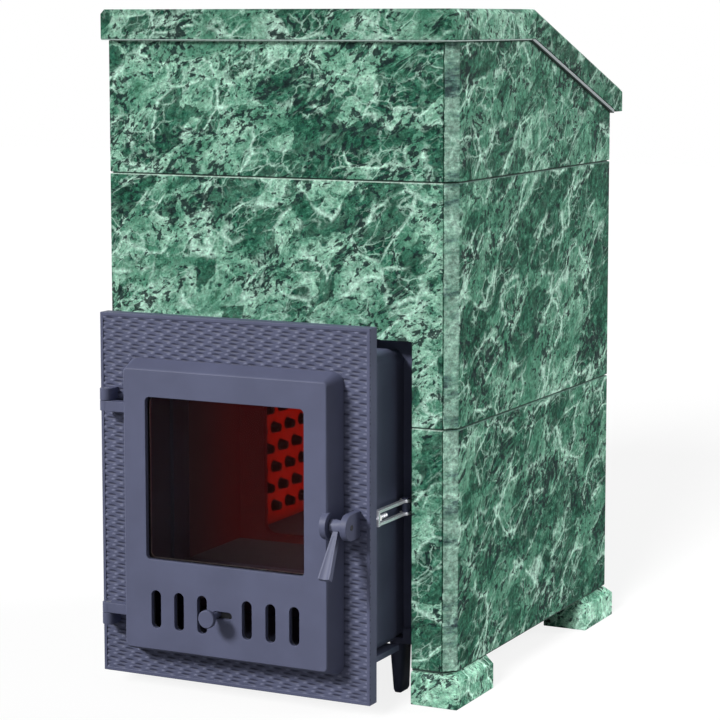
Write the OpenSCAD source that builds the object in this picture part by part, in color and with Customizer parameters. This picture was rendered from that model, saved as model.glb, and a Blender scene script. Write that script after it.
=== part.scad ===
// Sauna stove: a cast-iron firebox with a closed stone heater, clad in slabs of green stone.
// The fire door stands in front of the cladding on a tunnel, so it can face another room.
// X runs left to right, Y from the door to the back, Z up from the floor.
// Inside the modules Y = 0 is the front face of the cladding; centred() moves it to the middle.

/* [Cladding] */
// Width of the stone body
body_w = 650; // [640:5:720]
// Depth of the stone body
body_d = 700; // [690:5:800]
// Thickness of the stone slabs
slab_t = 40; // [30:1:42]
// Chamfer down the right front corner
corner_cut = 20; // [8:1:26]
// Height of the bottom course
course_low_h = 402; // [380:2:420]
// Height of the middle course
course_mid_h = 400; // [380:2:440]
// Height of the top course
course_top_h = 225; // [200:1:260]
// Thickness of the steel bands in the joints
joint_t = 2; // [1:0.5:3]
// Gap between a front slab and its corner slab
seam = 1; // [0.5:0.1:2]
// Width of the opening for the fire tunnel
opening_w = 498; // [480:1:500]
// Height of the opening above the floor
opening_h = 604; // [600:1:640]

/* [Cap] */
// Thickness of the cap slabs
cap_t = 50; // [30:1:60]
// Overhang of the cap at each side
cap_side = 6; // [2:1:20]
// Overhang of the cap at the front
cap_front_out = 16; // [5:1:30]
// Overhang of the cap at the back
cap_back_out = 48; // [30:1:70]
// Chamfer along the upper side edges of the cap
cap_edge = 7.5; // [1:0.5:8]
// Where the flat top ends and the slope begins
ridge_y = 330; // [315:1:350]
// Angle of the slope
slope_deg = 19.1; // [15:0.1:22]
// Where the two slope slabs meet
slope_seam_y = 522; // [480:1:560]
// Thickness of the steel tray under the slope
tray_t = 6; // [2:0.5:10]

/* [Feet and frame] */
// Height of the stone feet
foot_h = 56; // [40:1:70]
// How far the feet stand out at the sides
foot_out = 9; // [2:1:20]
// How far the rear feet stand out at the back
foot_back_out = 17; // [2:1:30]
// Length of the front feet
foot_front_len = 152; // [120:1:180]
// Length of the rear feet
foot_rear_len = 140; // [120:1:180]
// Bevel round the top of the feet
foot_bevel = 13; // [4:1:20]
// Thickness of the frame's base plate
base_t = 4; // [3:0.5:8]
// Leg width of the frame's angle posts
post_w = 30; // [20:1:40]
// Thickness of the angle posts
post_t = 3; // [2:0.5:5]

/* [Steam hatch] */
// Clear width of the hatch
hatch_w = 250; // [180:5:300]
// Clear length of the hatch along the slope
hatch_l = 190; // [140:5:200]
// Distance from the ridge to the hatch
hatch_from_ridge = 75; // [70:1:88]
// Width of the hatch frame's flange
hatch_flange = 16; // [12:1:20]
// Thickness of the hatch lid
lid_t = 5; // [3:0.5:8]
// Radius of the hatch pin
hatch_pin_r = 4; // [3:0.5:5]

/* [Flue] */
// Inner radius of the flue socket
flue_r = 60; // [50:1:75]
// Wall of the flue socket
flue_wall = 4; // [2:0.5:6]
// Centre of the flue behind the front face
flue_y = 177; // [165:1:190]
// Ring gap between the socket and the cap slabs
flue_gap = 8; // [4:1:14]

/* [Firebox] */
// How far the firebox reaches past the tunnel at each side
firebox_side = 15; // [10:1:20]
// Front wall of the firebox behind the stone face
firebox_y = 45; // [44:1:60]
// Gap between the firebox and the back slabs
firebox_back = 50; // [35:1:65]
// Outer height of the firebox
firebox_h = 614; // [600:2:640]
// Wall of the firebox
firebox_wall = 12; // [8:1:14]
// Clearance under the firebox
leg_h = 88; // [84:1:92]
// Distance from the firebox's side to its legs
leg_side = 27; // [10:1:40]
// Thickness of the firebox base
base_plate_t = 18; // [14:1:20]
// Ribs on each side of the firebox
rib_count = 7; // [3:1:12]
// Depth of those ribs
rib_depth = 18; // [8:1:22]
// Height of the fire floor above the floor
hearth_z = 190; // [184:1:200]
// Thickness of the fire floor
hearth_t = 12; // [8:1:14]
// Clear width of the inner mouth
mouth_w = 310; // [280:5:340]
// Depth of the vestibule in front of the inner mouth
mouth_y = 236; // [220:2:250]
// Distance from the firebox roof down to the baffle
baffle_drop = 120; // [100:2:130]
// Radius of a stud on the lining plates
stud_r = 11; // [7:1:13]
// Length of those studs
stud_l = 14; // [6:1:18]
// Upright pitch of the stud rows
stud_rise = 37; // [34:1:44]
// Pitch of the studs along a row
stud_pitch = 54; // [48:1:60]
// Wall of the stone heater
heater_wall = 6; // [4:0.5:8]

/* [Tunnel] */
// Gap between the tunnel and the opening at each side
tunnel_side = 29; // [24:1:34]
// Gap between the tunnel and the top of the opening
tunnel_over = 14; // [10:1:20]
// Wall of the tunnel
tunnel_wall = 8; // [6:0.5:10]
// Corner radius of the tunnel
tunnel_r = 20; // [16:1:30]
// How far the tunnel reaches behind the stone face
tunnel_in = 5; // [0:1:10]

/* [Portal] */
// How far the portal frame reaches past the opening at each side
portal_lap = 1; // [0:0.5:10]
// Underside of the portal frame above the floor
portal_z = 36; // [20:1:45]
// Height of the portal frame
portal_h = 608; // [600:1:630]
// Thickness of the portal frame
portal_t = 25; // [20:1:30]
// Distance from the stone face to the back of the portal
standoff = 130; // [120:1:150]
// Width of the plain rim
rim_w = 6; // [4:0.5:10]
// Depth of the field inside the rim
field_sink = 2; // [1:0.25:3]

/* [Door] */
// Portal frame left free at each side of the door's front face
door_side = 61; // [58:0.5:65]
// Height of the door's front face
door_h = 470; // [464:1:476]
// Underside of the door's front face above the floor
door_z = 91; // [88:1:94]
// Depth of the door casting
door_d = 35.6; // [32:0.2:40]
// How much the sides flare towards the frame
door_flare = 11; // [4:1:12]
// Corner radius of the front face
door_r = 9; // [6:1:12]
// Rounding of the front edges, cut as a bevel
door_edge = 3; // [1:0.5:5]
// Thickness of the door's front wall
door_wall = 9; // [7:0.5:10]
// Gap between the shut door and the frame
door_gap = 0.4; // [0.3:0.1:1]
// Door centre to the right of the stove's centre
door_x = 4; // [0:1:8]
// Door face left free at each side of the window
window_side = 42.5; // [42:0.5:60]
// Door face left free above the window
window_over = 47; // [45:1:77]
// Sill of the window above the floor
window_z = 244; // [244:1:262]
// Corner radius of the window
window_r = 8; // [4:1:12]
// Thickness of the glass
glass_t = 4; // [3:0.5:5]
// How far the glass laps behind the window
glass_lap = 10; // [6:1:12]
// Radius of the rope seal
rope_r = 5; // [4:0.5:6]

/* [Air slider] */
// Air slots on each side of the knob
slot_side_count = 3; // [2:1:3]
// Width of an air slot
slot_w = 18; // [14:1:20]
// Length of an air slot
slot_l = 63.5; // [50:0.5:68]
// Middle of the air slots above the floor
slot_z = 161; // [156:1:164]
// Distance from the last slot to the door's side
slot_end = 60.4; // [59:0.2:62]
// Distance from the knob's side to the first slot on each side
slot_first = 41.8; // [41:0.2:44]
// Thickness of the slider plate
slider_t = 3; // [2:0.5:3.5]
// Running clearance of the slider
slider_gap = 0.3; // [0.2:0.05:0.5]
// Radius of the knob's stem
stem_r = 5; // [4:0.5:5]
// Radius of the knob
knob_r = 15; // [10:1:17]
// How far the knob stands out of the door
knob_out = 34; // [26:1:45]
// Stem to the left of the stove's centre with the air open
stem_x = -11; // [-13:1:-9]

/* [Hinges] */
// Distance from the portal's side to the hinge pin axis
hinge_side = 22; // [18:1:26]
// Hinge pin axis in front of the frame
hinge_out = 17; // [15:1:20]
// Radius of the hinge knuckles
knuckle_r = 11; // [9:0.5:12]
// Radius of the hinge pins
hinge_pin_r = 5; // [4:0.5:6]
// Height of a frame knuckle
lug_h = 20; // [14:1:24]
// Height of a door knuckle
arm_h = 17; // [12:1:20]
// Upper joint of lug and arm above the floor
hinge_top_z = 500; // [480:1:520]
// Lower joint of lug and arm above the floor
hinge_low_z = 142; // [130:1:160]
// Running clearance on the radius of every pin
pin_gap = 0.05; // [0.03:0.01:0.1]

/* [Latch] */
// Height of the latch axis above the floor
latch_z = 330; // [310:1:350]
// Latch axis in front of the frame
latch_out = 29; // [28:1:32]
// Radius of the two ears
ear_r = 21.5; // [18:0.5:24]
// Thickness of the ears
ear_t = 11.5; // [8:0.5:12]
// Distance from the portal's side to the left face of the frame's ear
ear_side = 29; // [24:1:30]
// Pitch of the two ears
ear_pitch = 37; // [36:1:41]
// Radius of the latch pins
latch_pin_r = 4.5; // [3.5:0.5:5]
// Radius of the handle's hub
hub_r = 11; // [10:0.5:13]
// Length of the handle from its axis
handle_l = 90; // [70:1:110]
// Width of the handle's end
handle_w = 20; // [14:1:21]
// Lean of the handle out of the upright
handle_lean = 31; // [28:1:40]
// How far the handle lifts
handle_lift = 70; // [60:1:80]

/* [Frame ties] */
// Distance from the side of the opening to a tie
tie_side = 17; // [13:0.5:17]
// Middle of the ties above the floor
tie_z = 328; // [300:1:350]
// Distance between a yoke's arms
tie_gap = 21; // [19:1:26]
// Radius of the tie studs
tie_stud_r = 4; // [3:0.5:4]

/* [Ash drawer and grate] */
// Width of the ash drawer
drawer_w = 210; // [180:2:240]
// Length of the ash drawer
drawer_l = 440; // [380:5:450]
// Height of the ash drawer
drawer_h = 54; // [40:1:60]
// Sheet of the ash drawer
drawer_t = 2; // [1.5:0.5:3]
// Width of the grate
grate_w = 200; // [160:5:220]
// Length of the grate
grate_l = 270; // [240:5:280]
// Gap between the grate and the firebox's back wall
grate_back = 45; // [30:1:60]
// Bars in the grate
grate_bars = 9; // [6:1:10]

/* [Hidden] */
$fn = 64;
stone_c = [0.37, 0.56, 0.47];
iron_c = [0.36, 0.37, 0.47];
black_c = [0.13, 0.13, 0.15];
steel_c = [0.72, 0.73, 0.75];
fire_c = [0.45, 0.10, 0.06];
seat_gap = 0.2;
eps = 0.01;

x_out = body_w / 2;
x_in = x_out - slab_t;
y_in = body_d - slab_t;
z_base = foot_h + base_t;
z_low = z_base + course_low_h;
z_mid0 = z_low + joint_t;
z_mid = z_mid0 + course_mid_h;
z_top0 = z_mid + joint_t;
z_topc = z_top0 + course_top_h;
z_cap = z_topc + joint_t;
z_top = z_cap + cap_t;
face_x1 = x_out - corner_cut - seam;
tunnel_w = opening_w - 2 * tunnel_side;
tunnel_top = opening_h - tunnel_over;
portal_w = opening_w + 2 * portal_lap;
door_w = portal_w - 2 * door_side;
window_w = door_w - 2 * window_side;
window_h = door_z + door_h - window_over - window_z;
firebox_w = tunnel_w + 2 * firebox_side;
firebox_d = y_in - firebox_back - firebox_y;
hinge_x = hinge_side - portal_w / 2;
frame_ear_x = portal_w / 2 - ear_side;
door_ear_x = frame_ear_x - ear_pitch;
tie_x = opening_w / 2 - tie_side;
slot_reach = door_w / 2 - slot_end;
slot_pitch = (slot_reach - slot_first) / max(1, slot_side_count - 1);

function slope_z(y, down = 0) = z_top - (y - ridge_y) * tan(slope_deg) - down / cos(slope_deg);
function slope_y(z, down = 0) = ridge_y + (z_top - down / cos(slope_deg) - z) / tan(slope_deg);
function past(a, b) = b + (b - a) * 0.2;
under = cap_t + tray_t + seat_gap;
tray_y0 = slope_y(z_topc + seat_gap, cap_t + tray_t);
tray_y1 = body_d + 9;
tray_x = x_out + cap_side - 1;
tip_y = body_d + 20;
cap_y1 = body_d + cap_back_out;
cap_tip_z = slope_z(tip_y, cap_t);
mitre = cap_t * tan(slope_deg / 2);

portal_y = -standoff - portal_t;
door_y = portal_y - door_gap - door_d;
door_cz = door_z + door_h / 2;
knob_y = door_y - knob_out;

shell_z = leg_h + base_plate_t;
roof_z = shell_z + firebox_h;
firebox_y1 = firebox_y + firebox_d;
fb_in = firebox_w / 2 - firebox_wall;
neck_w = tunnel_w - 12;
tunnel_z = leg_h + 10;
neck_top = tunnel_top - 6;
vest_x = neck_w / 2 - tunnel_wall;
lining_t = 8;
baffle_z = roof_z - baffle_drop;

door_in_w = door_w - 14;
rib_in = 12;
rope_y = portal_y - door_gap - rope_r + 0.1;
rope_x = door_in_w / 2 - rope_r - 0.4;
rope_h = (door_h - 14) / 2 - rope_r - 0.4;
seat_w = door_in_w - 4 * rope_r - 4;
seat_h = door_h - 14 - 4 * rope_r - 4;
glass_y = door_y + door_wall;
slider_shift = slot_pitch / 2;
slot_xs = [for (s = [-1, 1], i = [0 : slot_side_count - 1]) s * (slot_first + i * slot_pitch)];
slider_x0 = -slot_reach - slot_w / 2 - 6;
slider_x1 = slot_reach + slot_w / 2 + 4;
slider_h = slot_l + 20;

latch_y = portal_y - latch_out;
hub_x0 = door_ear_x + ear_t + 1.5;
hub_x1 = frame_ear_x - 2;
hub_step = (hub_x0 + hub_x1) / 2;
hinge_y = portal_y - hinge_out;
lever_t = 11;
lever_y = latch_y - handle_l * sin(handle_lean) - lever_t / 2 * cos(handle_lean);
y_mid = (min(knob_y, lever_y) + cap_y1) / 2;

drawer_y = firebox_y1 - firebox_wall - drawer_l - 8;
grate_y = firebox_y1 - firebox_wall - grate_l - grate_back;
heater_y0 = ridge_y + hatch_from_ridge * cos(slope_deg) - 40;
heater_x = hatch_w / 2 + 60;
tie_y = -standoff + 34;
tie_eye_y = 14;

// Places a piece so that the stove's middle lies on the Z axis
module centred() {
  translate([0, -y_mid, 0]) children();
}

// Mirrors a piece to the left side
module left_hand() {
  mirror([1, 0, 0]) children();
}

// Rectangle between two corners
module rect(x0, y0, x1, y1) {
  translate([x0, y0]) square([x1 - x0, y1 - y0]);
}

// Block between two corners
module block(x0, y0, z0, x1, y1, z1) {
  translate([x0, y0, z0]) cube([x1 - x0, y1 - y0, z1 - z0]);
}

// A profile of (Y, Z) points drawn out along X
module along_x(points, x0, x1) {
  translate([x0, 0, 0]) rotate([90, 0, 90]) linear_extrude(x1 - x0) polygon(points);
}

// A profile of (X, Z) shapes drawn out along Y
module along_y(y0, y1) {
  translate([0, y1, 0]) rotate([90, 0, 0]) linear_extrude(y1 - y0) children();
}

// Round rod along X
module rod_x(r, x0, x1, y, z) {
  translate([x0, y, z]) rotate([0, 90, 0]) cylinder(r = r, h = x1 - x0);
}

// Round rod along Y
module rod_y(r, y0, y1, x, z) {
  translate([x, y0, z]) rotate([-90, 0, 0]) cylinder(r = r, h = y1 - y0);
}

// Rectangle with round corners, centred
module round_rect(w, h, r) {
  square([w - 2 * r, h], center = true);
  square([w, h - 2 * r], center = true);
  for (sx = [-1, 1], sz = [-1, 1])
    translate([sx * (w / 2 - r), sz * (h / 2 - r)]) circle(r);
}

// Slot with round ends, standing up
module upright_slot(w, l) {
  square([w, l - w], center = true);
  for (s = [-1, 1]) translate([0, s * (l - w) / 2]) circle(w / 2);
}

// Plan of the right-hand side slabs, lapping the front slab and chamfered at the corner
module right_plan() {
  polygon([
    [x_out - corner_cut, 0], [x_out, corner_cut], [x_out, body_d], [x_in, body_d],
    [x_in, slab_t], [x_out - corner_cut, slab_t]
  ]);
}

// Plan of the left-hand side slabs, which stand behind the front slabs
module left_plan() {
  rect(-x_out, slab_t + seam, -x_in, body_d);
}

// One side slab between two heights on the plan given
module side_slab(z0, z1) {
  color(stone_c) translate([0, 0, z0]) linear_extrude(z1 - z0) children();
}

// Top side slab on the plan given, cut to the slope of the tray
module side_slab_top() {
  knee = slope_y(z_topc, under);
  color(stone_c) intersection() {
    translate([0, 0, z_top0]) linear_extrude(course_top_h) children();
    along_x([
      [-eps, z_top0], [body_d + eps, z_top0], [body_d + eps, slope_z(body_d + eps, under)],
      [knee, z_topc], [-eps, z_topc]
    ], -x_out - eps, x_out + eps);
  }
}

module right_top() { centred() side_slab_top() right_plan(); }
module right_middle() { centred() side_slab(z_mid0, z_mid) right_plan(); }
module right_low() { centred() side_slab(z_base, z_low) right_plan(); }
module left_top() { centred() side_slab_top() left_plan(); }
module left_middle() { centred() side_slab(z_mid0, z_mid) left_plan(); }
module left_low() { centred() side_slab(z_base, z_low) left_plan(); }

module front_top() {
  centred() color(stone_c) block(-x_out, 0, z_top0, face_x1, slab_t, z_topc);
}

// The middle front slab is notched over the tunnel
module front_middle() {
  centred() color(stone_c) difference() {
    block(-x_out, 0, z_mid0, face_x1, slab_t, z_mid);
    block(-opening_w / 2, -1, z_mid0 - 1, opening_w / 2, slab_t + 1, opening_h);
  }
}

module front_low_right() {
  centred() color(stone_c) block(opening_w / 2, 0, z_base, face_x1, slab_t, z_low);
}

module front_low_left() {
  centred() color(stone_c) block(-x_out, 0, z_base, -opening_w / 2, slab_t, z_low);
}

module back_slab(z0, z1) {
  color(stone_c) block(-x_in, y_in, z0, x_in, body_d, z1);
}

module back_low() { centred() back_slab(z_base, z_low); }
module back_middle() { centred() back_slab(z_mid0, z_mid); }

module back_top() {
  centred() color(stone_c) along_x([
    [y_in, z_top0], [body_d, z_top0], [body_d, slope_z(body_d, under)],
    [y_in, slope_z(y_in, under)]
  ], -x_in, x_in);
}

// Upright section of the cap with both upper side edges chamfered, at height 0
module cap_section() {
  w = x_out + cap_side;
  polygon([
    [-w, -cap_t - 60], [w, -cap_t - 60], [w, -cap_edge], [w - cap_edge, 0],
    [-w + cap_edge, 0], [-w, -cap_edge]
  ]);
}

module flue_hole() {
  translate([0, flue_y, z_cap - 1]) cylinder(r = flue_r + flue_wall + flue_gap, h = cap_t + 2);
}

// Front slab of the flat top, holding half of the flue hole
module cap_front() {
  y0 = -cap_front_out;
  y1 = flue_y - seam / 2;
  centred() color(stone_c) difference() {
    intersection() {
      block(-x_out - cap_side, y0, z_cap, x_out + cap_side, y1, z_top);
      translate([0, 0, z_top]) along_y(y0 - 1, y1 + 1) cap_section();
    }
    flue_hole();
  }
}

// Rear slab of the flat top, mitred against the slope
module cap_rear() {
  y0 = flue_y + seam / 2;
  centred() color(stone_c) difference() {
    intersection() {
      along_x([
        [y0, z_cap], [ridge_y - mitre - seam / 2, z_cap], [ridge_y - seam / 2, z_top],
        [y0, z_top]
      ], -x_out - cap_side - 1, x_out + cap_side + 1);
      translate([0, 0, z_top]) along_y(y0, ridge_y) cap_section();
    }
    flue_hole();
  }
}

// Moves children into the plane of the slope: Y runs down the slope, Z stands square to it
module on_slope() {
  translate([0, ridge_y, z_top]) rotate([-slope_deg, 0, 0]) children();
}

// Hole for the hatch frame through the slope
module hatch_hole() {
  on_slope() block(
    -hatch_w / 2 - 5, hatch_from_ridge - 5, -cap_t - tray_t - 20,
    hatch_w / 2 + 5, hatch_from_ridge + hatch_l + 5, 20
  );
}

module slope_slab(points) {
  color(stone_c) difference() {
    intersection() {
      along_x(points, -x_out - cap_side - 1, x_out + cap_side + 1);
      on_slope() along_y(-60, 520) cap_section();
    }
    hatch_hole();
  }
}

module slope_upper() {
  y0 = ridge_y + seam / 2;
  y1 = slope_seam_y - seam / 2;
  foot = cap_t * sin(slope_deg);
  low0 = [y0 - mitre, slope_z(y0 - mitre, cap_t)];
  low1 = [y1 - foot, slope_z(y1 - foot, cap_t)];
  centred()
    slope_slab([past(low0, [y0, slope_z(y0)]), past(low1, [y1, slope_z(y1)]), low1, low0]);
}

// The lowest slab is cut plumb at its end and level underneath
module slope_lower() {
  y0 = slope_seam_y + seam / 2;
  foot = cap_t * sin(slope_deg);
  low0 = [y0 - foot, slope_z(y0 - foot, cap_t)];
  centred() slope_slab([
    past(low0, [y0, slope_z(y0)]), [cap_y1, z_top], [cap_y1, cap_tip_z], [tip_y, cap_tip_z], low0
  ]);
}

// Stone foot with a bevel round its outer top edges
module foot(y0, y1, out_front, out_back) {
  x0 = opening_w / 2 + 1;
  x1 = x_out + foot_out;
  b = foot_bevel;
  color(stone_c) intersection() {
    along_x([
      [y0, 0], [y1, 0], [y1, foot_h - b * out_back], [y1 - b * out_back, foot_h],
      [y0 + b * out_front, foot_h], [y0, foot_h - b * out_front]
    ], x0, x1);
    along_y(y0, y1) polygon([
      [x0, 0], [x1, 0], [x1, foot_h - b], [x1 - b, foot_h], [x0, foot_h]
    ]);
  }
}

module front_foot() { foot(-4, foot_front_len - 4, 0.3, 0); }
module rear_foot() {
  foot(body_d + foot_back_out - foot_rear_len, body_d + foot_back_out, 0, 1);
}

module foot_front_right() { centred() front_foot(); }
module foot_rear_right() { centred() rear_foot(); }
module foot_front_left() { centred() left_hand() front_foot(); }
module foot_rear_left() { centred() left_hand() rear_foot(); }

// Flat ring of steel under or between the courses
module band_plan(inset, w, y1) {
  difference() {
    polygon([
      [-x_out + inset, inset],
      [x_out - corner_cut - inset, inset], [x_out - inset, corner_cut + inset],
      [x_out - inset, y1], [-x_out + inset, y1]
    ]);
    rect(-x_out + w, w, x_out - w, body_d - w);
  }
}

// Angle post in the right front corner; back = 1 turns it for the rear corner
module post(z1, back) {
  y0 = back ? y_in - post_w : slab_t;
  web = back ? y_in - post_t : slab_t;
  block(x_in - post_w, web, z_base - eps, x_in, web + post_t, z1);
  block(x_in - post_t, y0, z_base - eps, x_in, y0 + post_w, z1);
}

// Welded frame: base ring on the feet, four posts, a band in each joint, a plate under the cap
module steel_frame() {
  w = slab_t + post_w;
  centred() color(steel_c) difference() {
    union() {
      translate([0, 0, foot_h]) linear_extrude(base_t) band_plan(5, w, body_d - 5);
      translate([0, 0, z_low]) linear_extrude(joint_t) band_plan(4, w, body_d - 4);
      translate([0, 0, z_mid]) linear_extrude(joint_t) band_plan(4, w, body_d - 4);
      translate([0, 0, z_topc]) linear_extrude(joint_t) difference() {
        rect(-tray_x, 1 - cap_front_out, tray_x, tray_y0 - 1);
        rect(-x_out + w, w, x_out - w, tray_y0);
      }
      for (m = [0, 1]) mirror([m, 0, 0]) {
        post(z_topc + eps, 0);
        post(slope_z(y_in, under) - 1, 1);
      }
    }
    block(-opening_w / 2, -1, foot_h - 1, opening_w / 2, w + 1, opening_h);
  }
}

// Sheet tray that carries the slope slabs
module slope_tray() {
  centred() color(steel_c) difference() {
    along_x([
      [slope_y(z_topc + joint_t, cap_t + seat_gap), z_topc + joint_t - seat_gap],
      [tray_y1 - 1, slope_z(tray_y1 - 1, cap_t + seat_gap)],
      [tray_y1 - 1, slope_z(tray_y1 - 1, cap_t + tray_t)],
      [tray_y0, z_topc + seat_gap]
    ], -tray_x, tray_x);
    hatch_hole();
  }
}

hatch_y0 = hatch_from_ridge;
hatch_y1 = hatch_from_ridge + hatch_l;
hatch_out = hatch_flange + 4;
hatch_pin_y = hatch_y0 - hatch_out - 7;
hatch_pin_n = 9;
knuckle_l = 24;
knuckle_x = hatch_w / 2 - 53;

// Steel collar through the slope with a flange on the stone and two hinge knuckles
module hatch_frame() {
  h = knuckle_l / 2;
  centred() color(black_c) on_slope() {
    difference() {
      union() {
        block(-hatch_w / 2 - 4, hatch_y0 - 4, -cap_t - tray_t - 8,
          hatch_w / 2 + 4, hatch_y1 + 4, 2);
        block(-hatch_w / 2 - hatch_out, hatch_y0 - hatch_out, seat_gap,
          hatch_w / 2 + hatch_out, hatch_y1 + hatch_out, 3);
      }
      block(-hatch_w / 2, hatch_y0, -cap_t - tray_t - 9, hatch_w / 2, hatch_y1, 4);
    }
    for (s = [-1, 1]) difference() {
      union() {
        rod_x(hatch_pin_r + 4, s * knuckle_x - h, s * knuckle_x + h, hatch_pin_y, hatch_pin_n);
        block(s * knuckle_x - h, hatch_pin_y - hatch_pin_r - 4, seat_gap,
          s * knuckle_x + h, hatch_pin_y + hatch_pin_r + 4, hatch_pin_n);
        block(s * knuckle_x - h, hatch_pin_y, seat_gap, s * knuckle_x + h, hatch_y0 - 6, 3);
      }
      rod_x(hatch_pin_r + pin_gap, s * knuckle_x - h - 1, s * knuckle_x + h + 1,
        hatch_pin_y, hatch_pin_n);
    }
  }
}

module hatch_pin() {
  centred() color(steel_c) on_slope()
    rod_x(hatch_pin_r, -knuckle_x - 14, knuckle_x + 14, hatch_pin_y, hatch_pin_n);
}

// Lid with its middle knuckle and a bow handle near the lower edge
module hatch_lid() {
  n0 = 3 + 0.3;
  n1 = n0 + lid_t;
  hy = hatch_y1 - 34;
  x1 = knuckle_x - knuckle_l / 2 - 1;
  centred() color(black_c) on_slope() {
    difference() {
      union() {
        block(-hatch_w / 2 - hatch_out, hatch_y0 - hatch_out + 4, n0,
          hatch_w / 2 + hatch_out, hatch_y1 + hatch_out, n1);
        block(-hatch_w / 2 + 3, hatch_y0 + 3, n0 - 9, hatch_w / 2 - 3, hatch_y1 - 3, n0 + eps);
        rod_x(hatch_pin_r + 4, -x1, x1, hatch_pin_y, hatch_pin_n);
        block(-x1, hatch_pin_y, hatch_pin_n - 4, x1, hatch_y0 - hatch_out + 6, n1);
      }
      rod_x(hatch_pin_r + pin_gap, -x1 - 1, x1 + 1, hatch_pin_y, hatch_pin_n);
    }
    for (s = [-1, 1]) translate([s * 50, hy, n1 - eps]) cylinder(r = 5, h = 22);
    rod_x(5, -55, 55, hy, n1 + 22);
  }
}

// Flue pipe from the firebox roof, ending just below the top of the cap
module flue_socket() {
  centred() color(black_c) translate([0, flue_y, roof_z]) difference() {
    union() {
      cylinder(r = flue_r + flue_wall, h = z_top - 2 - roof_z);
      cylinder(r = flue_r + flue_wall + 16, h = 8);
      translate([0, 0, 300]) cylinder(r = flue_r + flue_wall + 3, h = 12);
    }
    translate([0, 0, -1]) cylinder(r = flue_r, h = z_top - roof_z + 2);
  }
}

// Section of the tunnel and of the neck that takes it
module tube_section(w, top, wall) {
  h = top - tunnel_z;
  translate([0, tunnel_z + h / 2]) difference() {
    round_rect(w, h, tunnel_r);
    round_rect(w - 2 * wall, h - 2 * wall, tunnel_r - wall);
  }
}

// Solid filling of the same tube, used to cut the way through a wall
module tube_way(w, top, wall) {
  h = top - tunnel_z;
  translate([0, tunnel_z + h / 2]) round_rect(w - 2 * wall, h - 2 * wall, tunnel_r - wall);
}

// Cast shell: two ribbed sides and the back
module firebox_shell() {
  x1 = firebox_w / 2;
  y0 = firebox_y + firebox_wall;
  rib_step = (firebox_d - 120) / max(1, rib_count - 1);
  centred() color(black_c) {
    difference() {
      block(-x1, y0, shell_z, x1, firebox_y1, roof_z - firebox_wall);
      block(-fb_in, y0 - 1, shell_z - 1, fb_in, firebox_y1 - firebox_wall, roof_z);
    }
    for (m = [0, 1], i = [0 : rib_count - 1]) mirror([m, 0, 0])
      block(x1 - eps, firebox_y + 60 + i * rib_step - 4, shell_z + 40,
        x1 + rib_depth, firebox_y + 60 + i * rib_step + 4, roof_z - 30);
  }
}

// Cast roof with the hole under the flue socket
module firebox_roof() {
  x1 = firebox_w / 2;
  centred() color(black_c) difference() {
    block(-x1, firebox_y, roof_z - firebox_wall, x1, firebox_y1, roof_z);
    translate([0, flue_y, roof_z - firebox_wall - 1])
      cylinder(r = flue_r - 2, h = firebox_wall + 2);
  }
}

// Cast front with the neck and its shelf towards the tunnel, and an eye for each tie
module firebox_front() {
  x1 = firebox_w / 2;
  y1 = firebox_y + firebox_wall;
  centred() color(iron_c) {
    difference() {
      union() {
        block(-x1, firebox_y, shell_z, x1, y1, roof_z - firebox_wall);
        along_y(tunnel_in, firebox_y + 1) tube_section(neck_w, neck_top, tunnel_wall);
        for (s = [-1, 1]) {
          block(s * tie_x - 7, tie_eye_y, tie_z - tie_gap / 2 + 4,
            s * tie_x + 7, firebox_y + 1, tie_z + tie_gap / 2 - 4);
          translate([s * tie_x, tie_eye_y, tie_z - tie_gap / 2 - 5])
            cylinder(r = 6, h = tie_gap + 10);
        }
      }
      along_y(tunnel_in - 1, y1 + 1) tube_way(neck_w, neck_top, tunnel_wall);
    }
    block(-vest_x - 1, tunnel_in, hearth_z - hearth_t, vest_x + 1, y1, hearth_z);
  }
}

// Base casting with a raised rim that locates the shell
module firebox_base() {
  x1 = firebox_w / 2 + 4;
  centred() color(black_c) difference() {
    block(-x1, firebox_y - 4, leg_h, x1, firebox_y1 + 4, shell_z + 9);
    block(-x1 + 4 - seat_gap, firebox_y - seat_gap, shell_z,
      x1 - 4 + seat_gap, firebox_y1 + seat_gap, shell_z + 10);
    block(-neck_w / 2 - seat_gap, firebox_y - 5, shell_z - base_plate_t + 10 - seat_gap,
      neck_w / 2 + seat_gap, firebox_y + firebox_wall, shell_z + 10);
  }
}

// Tapered cast leg with a rounded end
module leg(y0) {
  w = 20;
  x0 = firebox_w / 2 - leg_side - w;
  d = 42;
  r = 5;
  color(black_c) hull() {
    block(x0, y0, leg_h - 1, x0 + w, y0 + d, leg_h);
    for (px = [x0 + 4 + r, x0 + w - r], py = [y0 + 3 + r, y0 + d - 3 - r]) {
      translate([px, py, 5]) cylinder(r = r, h = 1, $fn = 32);
      translate([px, py, 0]) cylinder(r = r - 2.5, h = 1, $fn = 32);
    }
  }
}

module leg_front_right() { centred() leg(firebox_y + 1); }
module leg_rear_right() { centred() leg(firebox_y1 - 50); }
module leg_front_left() { centred() left_hand() leg(firebox_y + 1); }
module leg_rear_left() { centred() left_hand() leg(firebox_y1 - 50); }

grate_seat = 8;

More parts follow.
